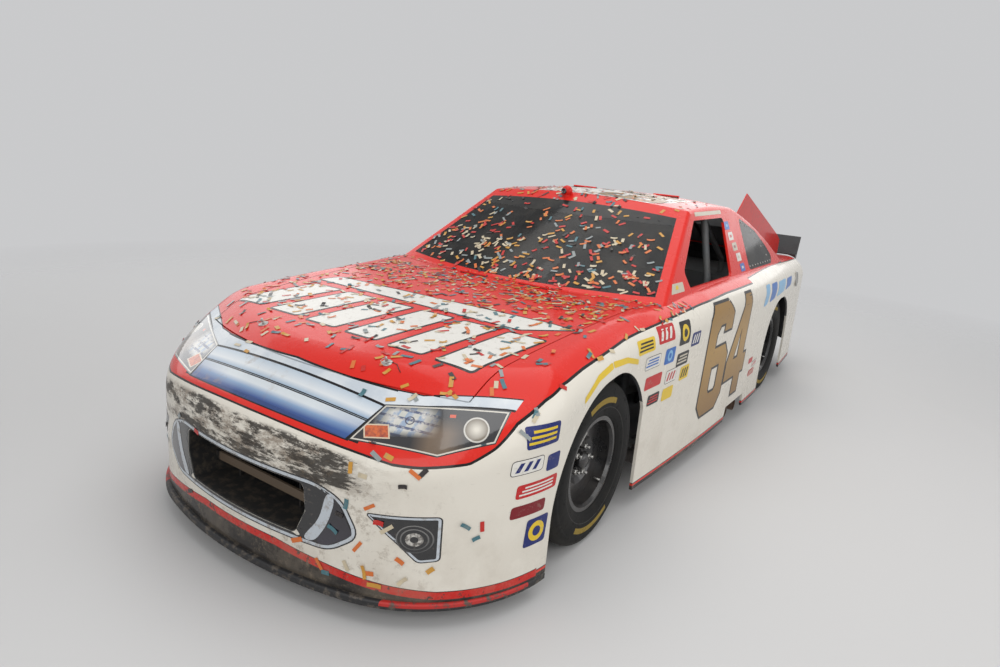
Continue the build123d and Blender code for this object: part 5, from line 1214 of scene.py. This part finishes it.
# Confetti: foil and paper slips thrown at the finish, lying where they fell and stuck by static,
# thickest at the back of the hood and on the windshield.
CONFETTI = [vinyl("slip_" + name, colour) for name, colour in (
    ("red", (0.50, 0.03, 0.025)), ("cream", (0.56, 0.48, 0.34)), ("gold", (0.55, 0.28, 0.05)),
    ("teal", (0.07, 0.17, 0.20)), ("dark", (0.035, 0.03, 0.03)), ("pale", (0.26, 0.29, 0.29)),
    ("orange", (0.62, 0.16, 0.04)))]
chance = random.Random(21)


def scatter(name, body, count, names, wide, long, density, size=1.0, weights=(3, 4, 4, 3, 3, 2, 3),
            view="top"):
    """Lays slips of confetti over some nodes, denser where density says."""
    under = surface(*names)
    slips = Bench()
    tries = 0
    while count and tries < 60000:
        tries += 1
        a, b = chance.uniform(*wide), chance.uniform(*long)
        if chance.random() > density(a, b):
            continue
        place, normal = touch(under, view, a, b)
        if place is None:
            continue
        turn = chance.uniform(0, math.pi)
        side = Matrix.Rotation(turn, 3, normal) @ normal.orthogonal().normalized()
        cross = normal.cross(side)
        length, width = chance.uniform(0.014, 0.025) * size, chance.uniform(0.006, 0.0088) * size
        curl = chance.choice((0, 0, 0, 0.002, 0.004))
        points = []
        for k in (-1, -0.33, 0.33, 1):
            height = 0.0018 + chance.random() * 0.0008 + curl * k * k
            points += [place + side * k * length + cross * j * width + normal * height for j in (-1, 1)]
        finish = CONFETTI[chance.choices(range(7), weights)[0]]
        slips.take(points, [(0, 2, 3, 1), (2, 4, 5, 3), (4, 6, 7, 5)], finish, True)
        count -= 1
    slips.piece(name, body, "paint_white")


scatter("confetti_hood", "hood", 640, ["hood"], (-0.74, 0.74), (-2.2, -0.93),
        lambda a, b: 0.24 + 0.34 * ((b + 2.2) / 1.27) ** 2, 1.0, (3, 4, 5, 3, 2, 3, 4))
scatter("confetti_fine", "hood", 240, ["hood"], (-0.74, 0.74), (-1.6, -0.93),
        lambda a, b: ((b + 1.6) / 0.67) ** 2, 0.6, (4, 3, 6, 2, 2, 3, 6))
scatter("confetti_glass", "body", 380, ["windshield"], (-0.75, 0.75), (-0.86, -0.2),
        lambda a, b: 0.95 - 1.05 * (b + 0.86), 0.92, (5, 5, 3, 1, 1, 3, 4))
scatter("confetti_cowl", "body", 150, ["cowl", "door_left", "door_right"], (-0.9, 0.9), (-0.96, -0.5),
        lambda a, b: 0.6, 0.7)
scatter("confetti_roof", "body", 200, ["roof"], (-0.62, 0.62), (-0.24, 0.45), lambda a, b: 0.5)
scatter("confetti_deck", "decklid", 60, ["decklid"], (-0.62, 0.62), (1.85, 2.24), lambda a, b: 0.5)
scatter("confetti_nose", "body", 80, ["nose", "fender_left", "fender_right"], (-0.92, 0.92), (-2.40, -1.1),
        lambda a, b: 0.5)
scatter("confetti_front", "body", 34, ["nose"], (-0.8, 0.86), (0.14, 0.55),
        lambda a, b: 0.25 + 0.7 * (a > 0.4), view="front")
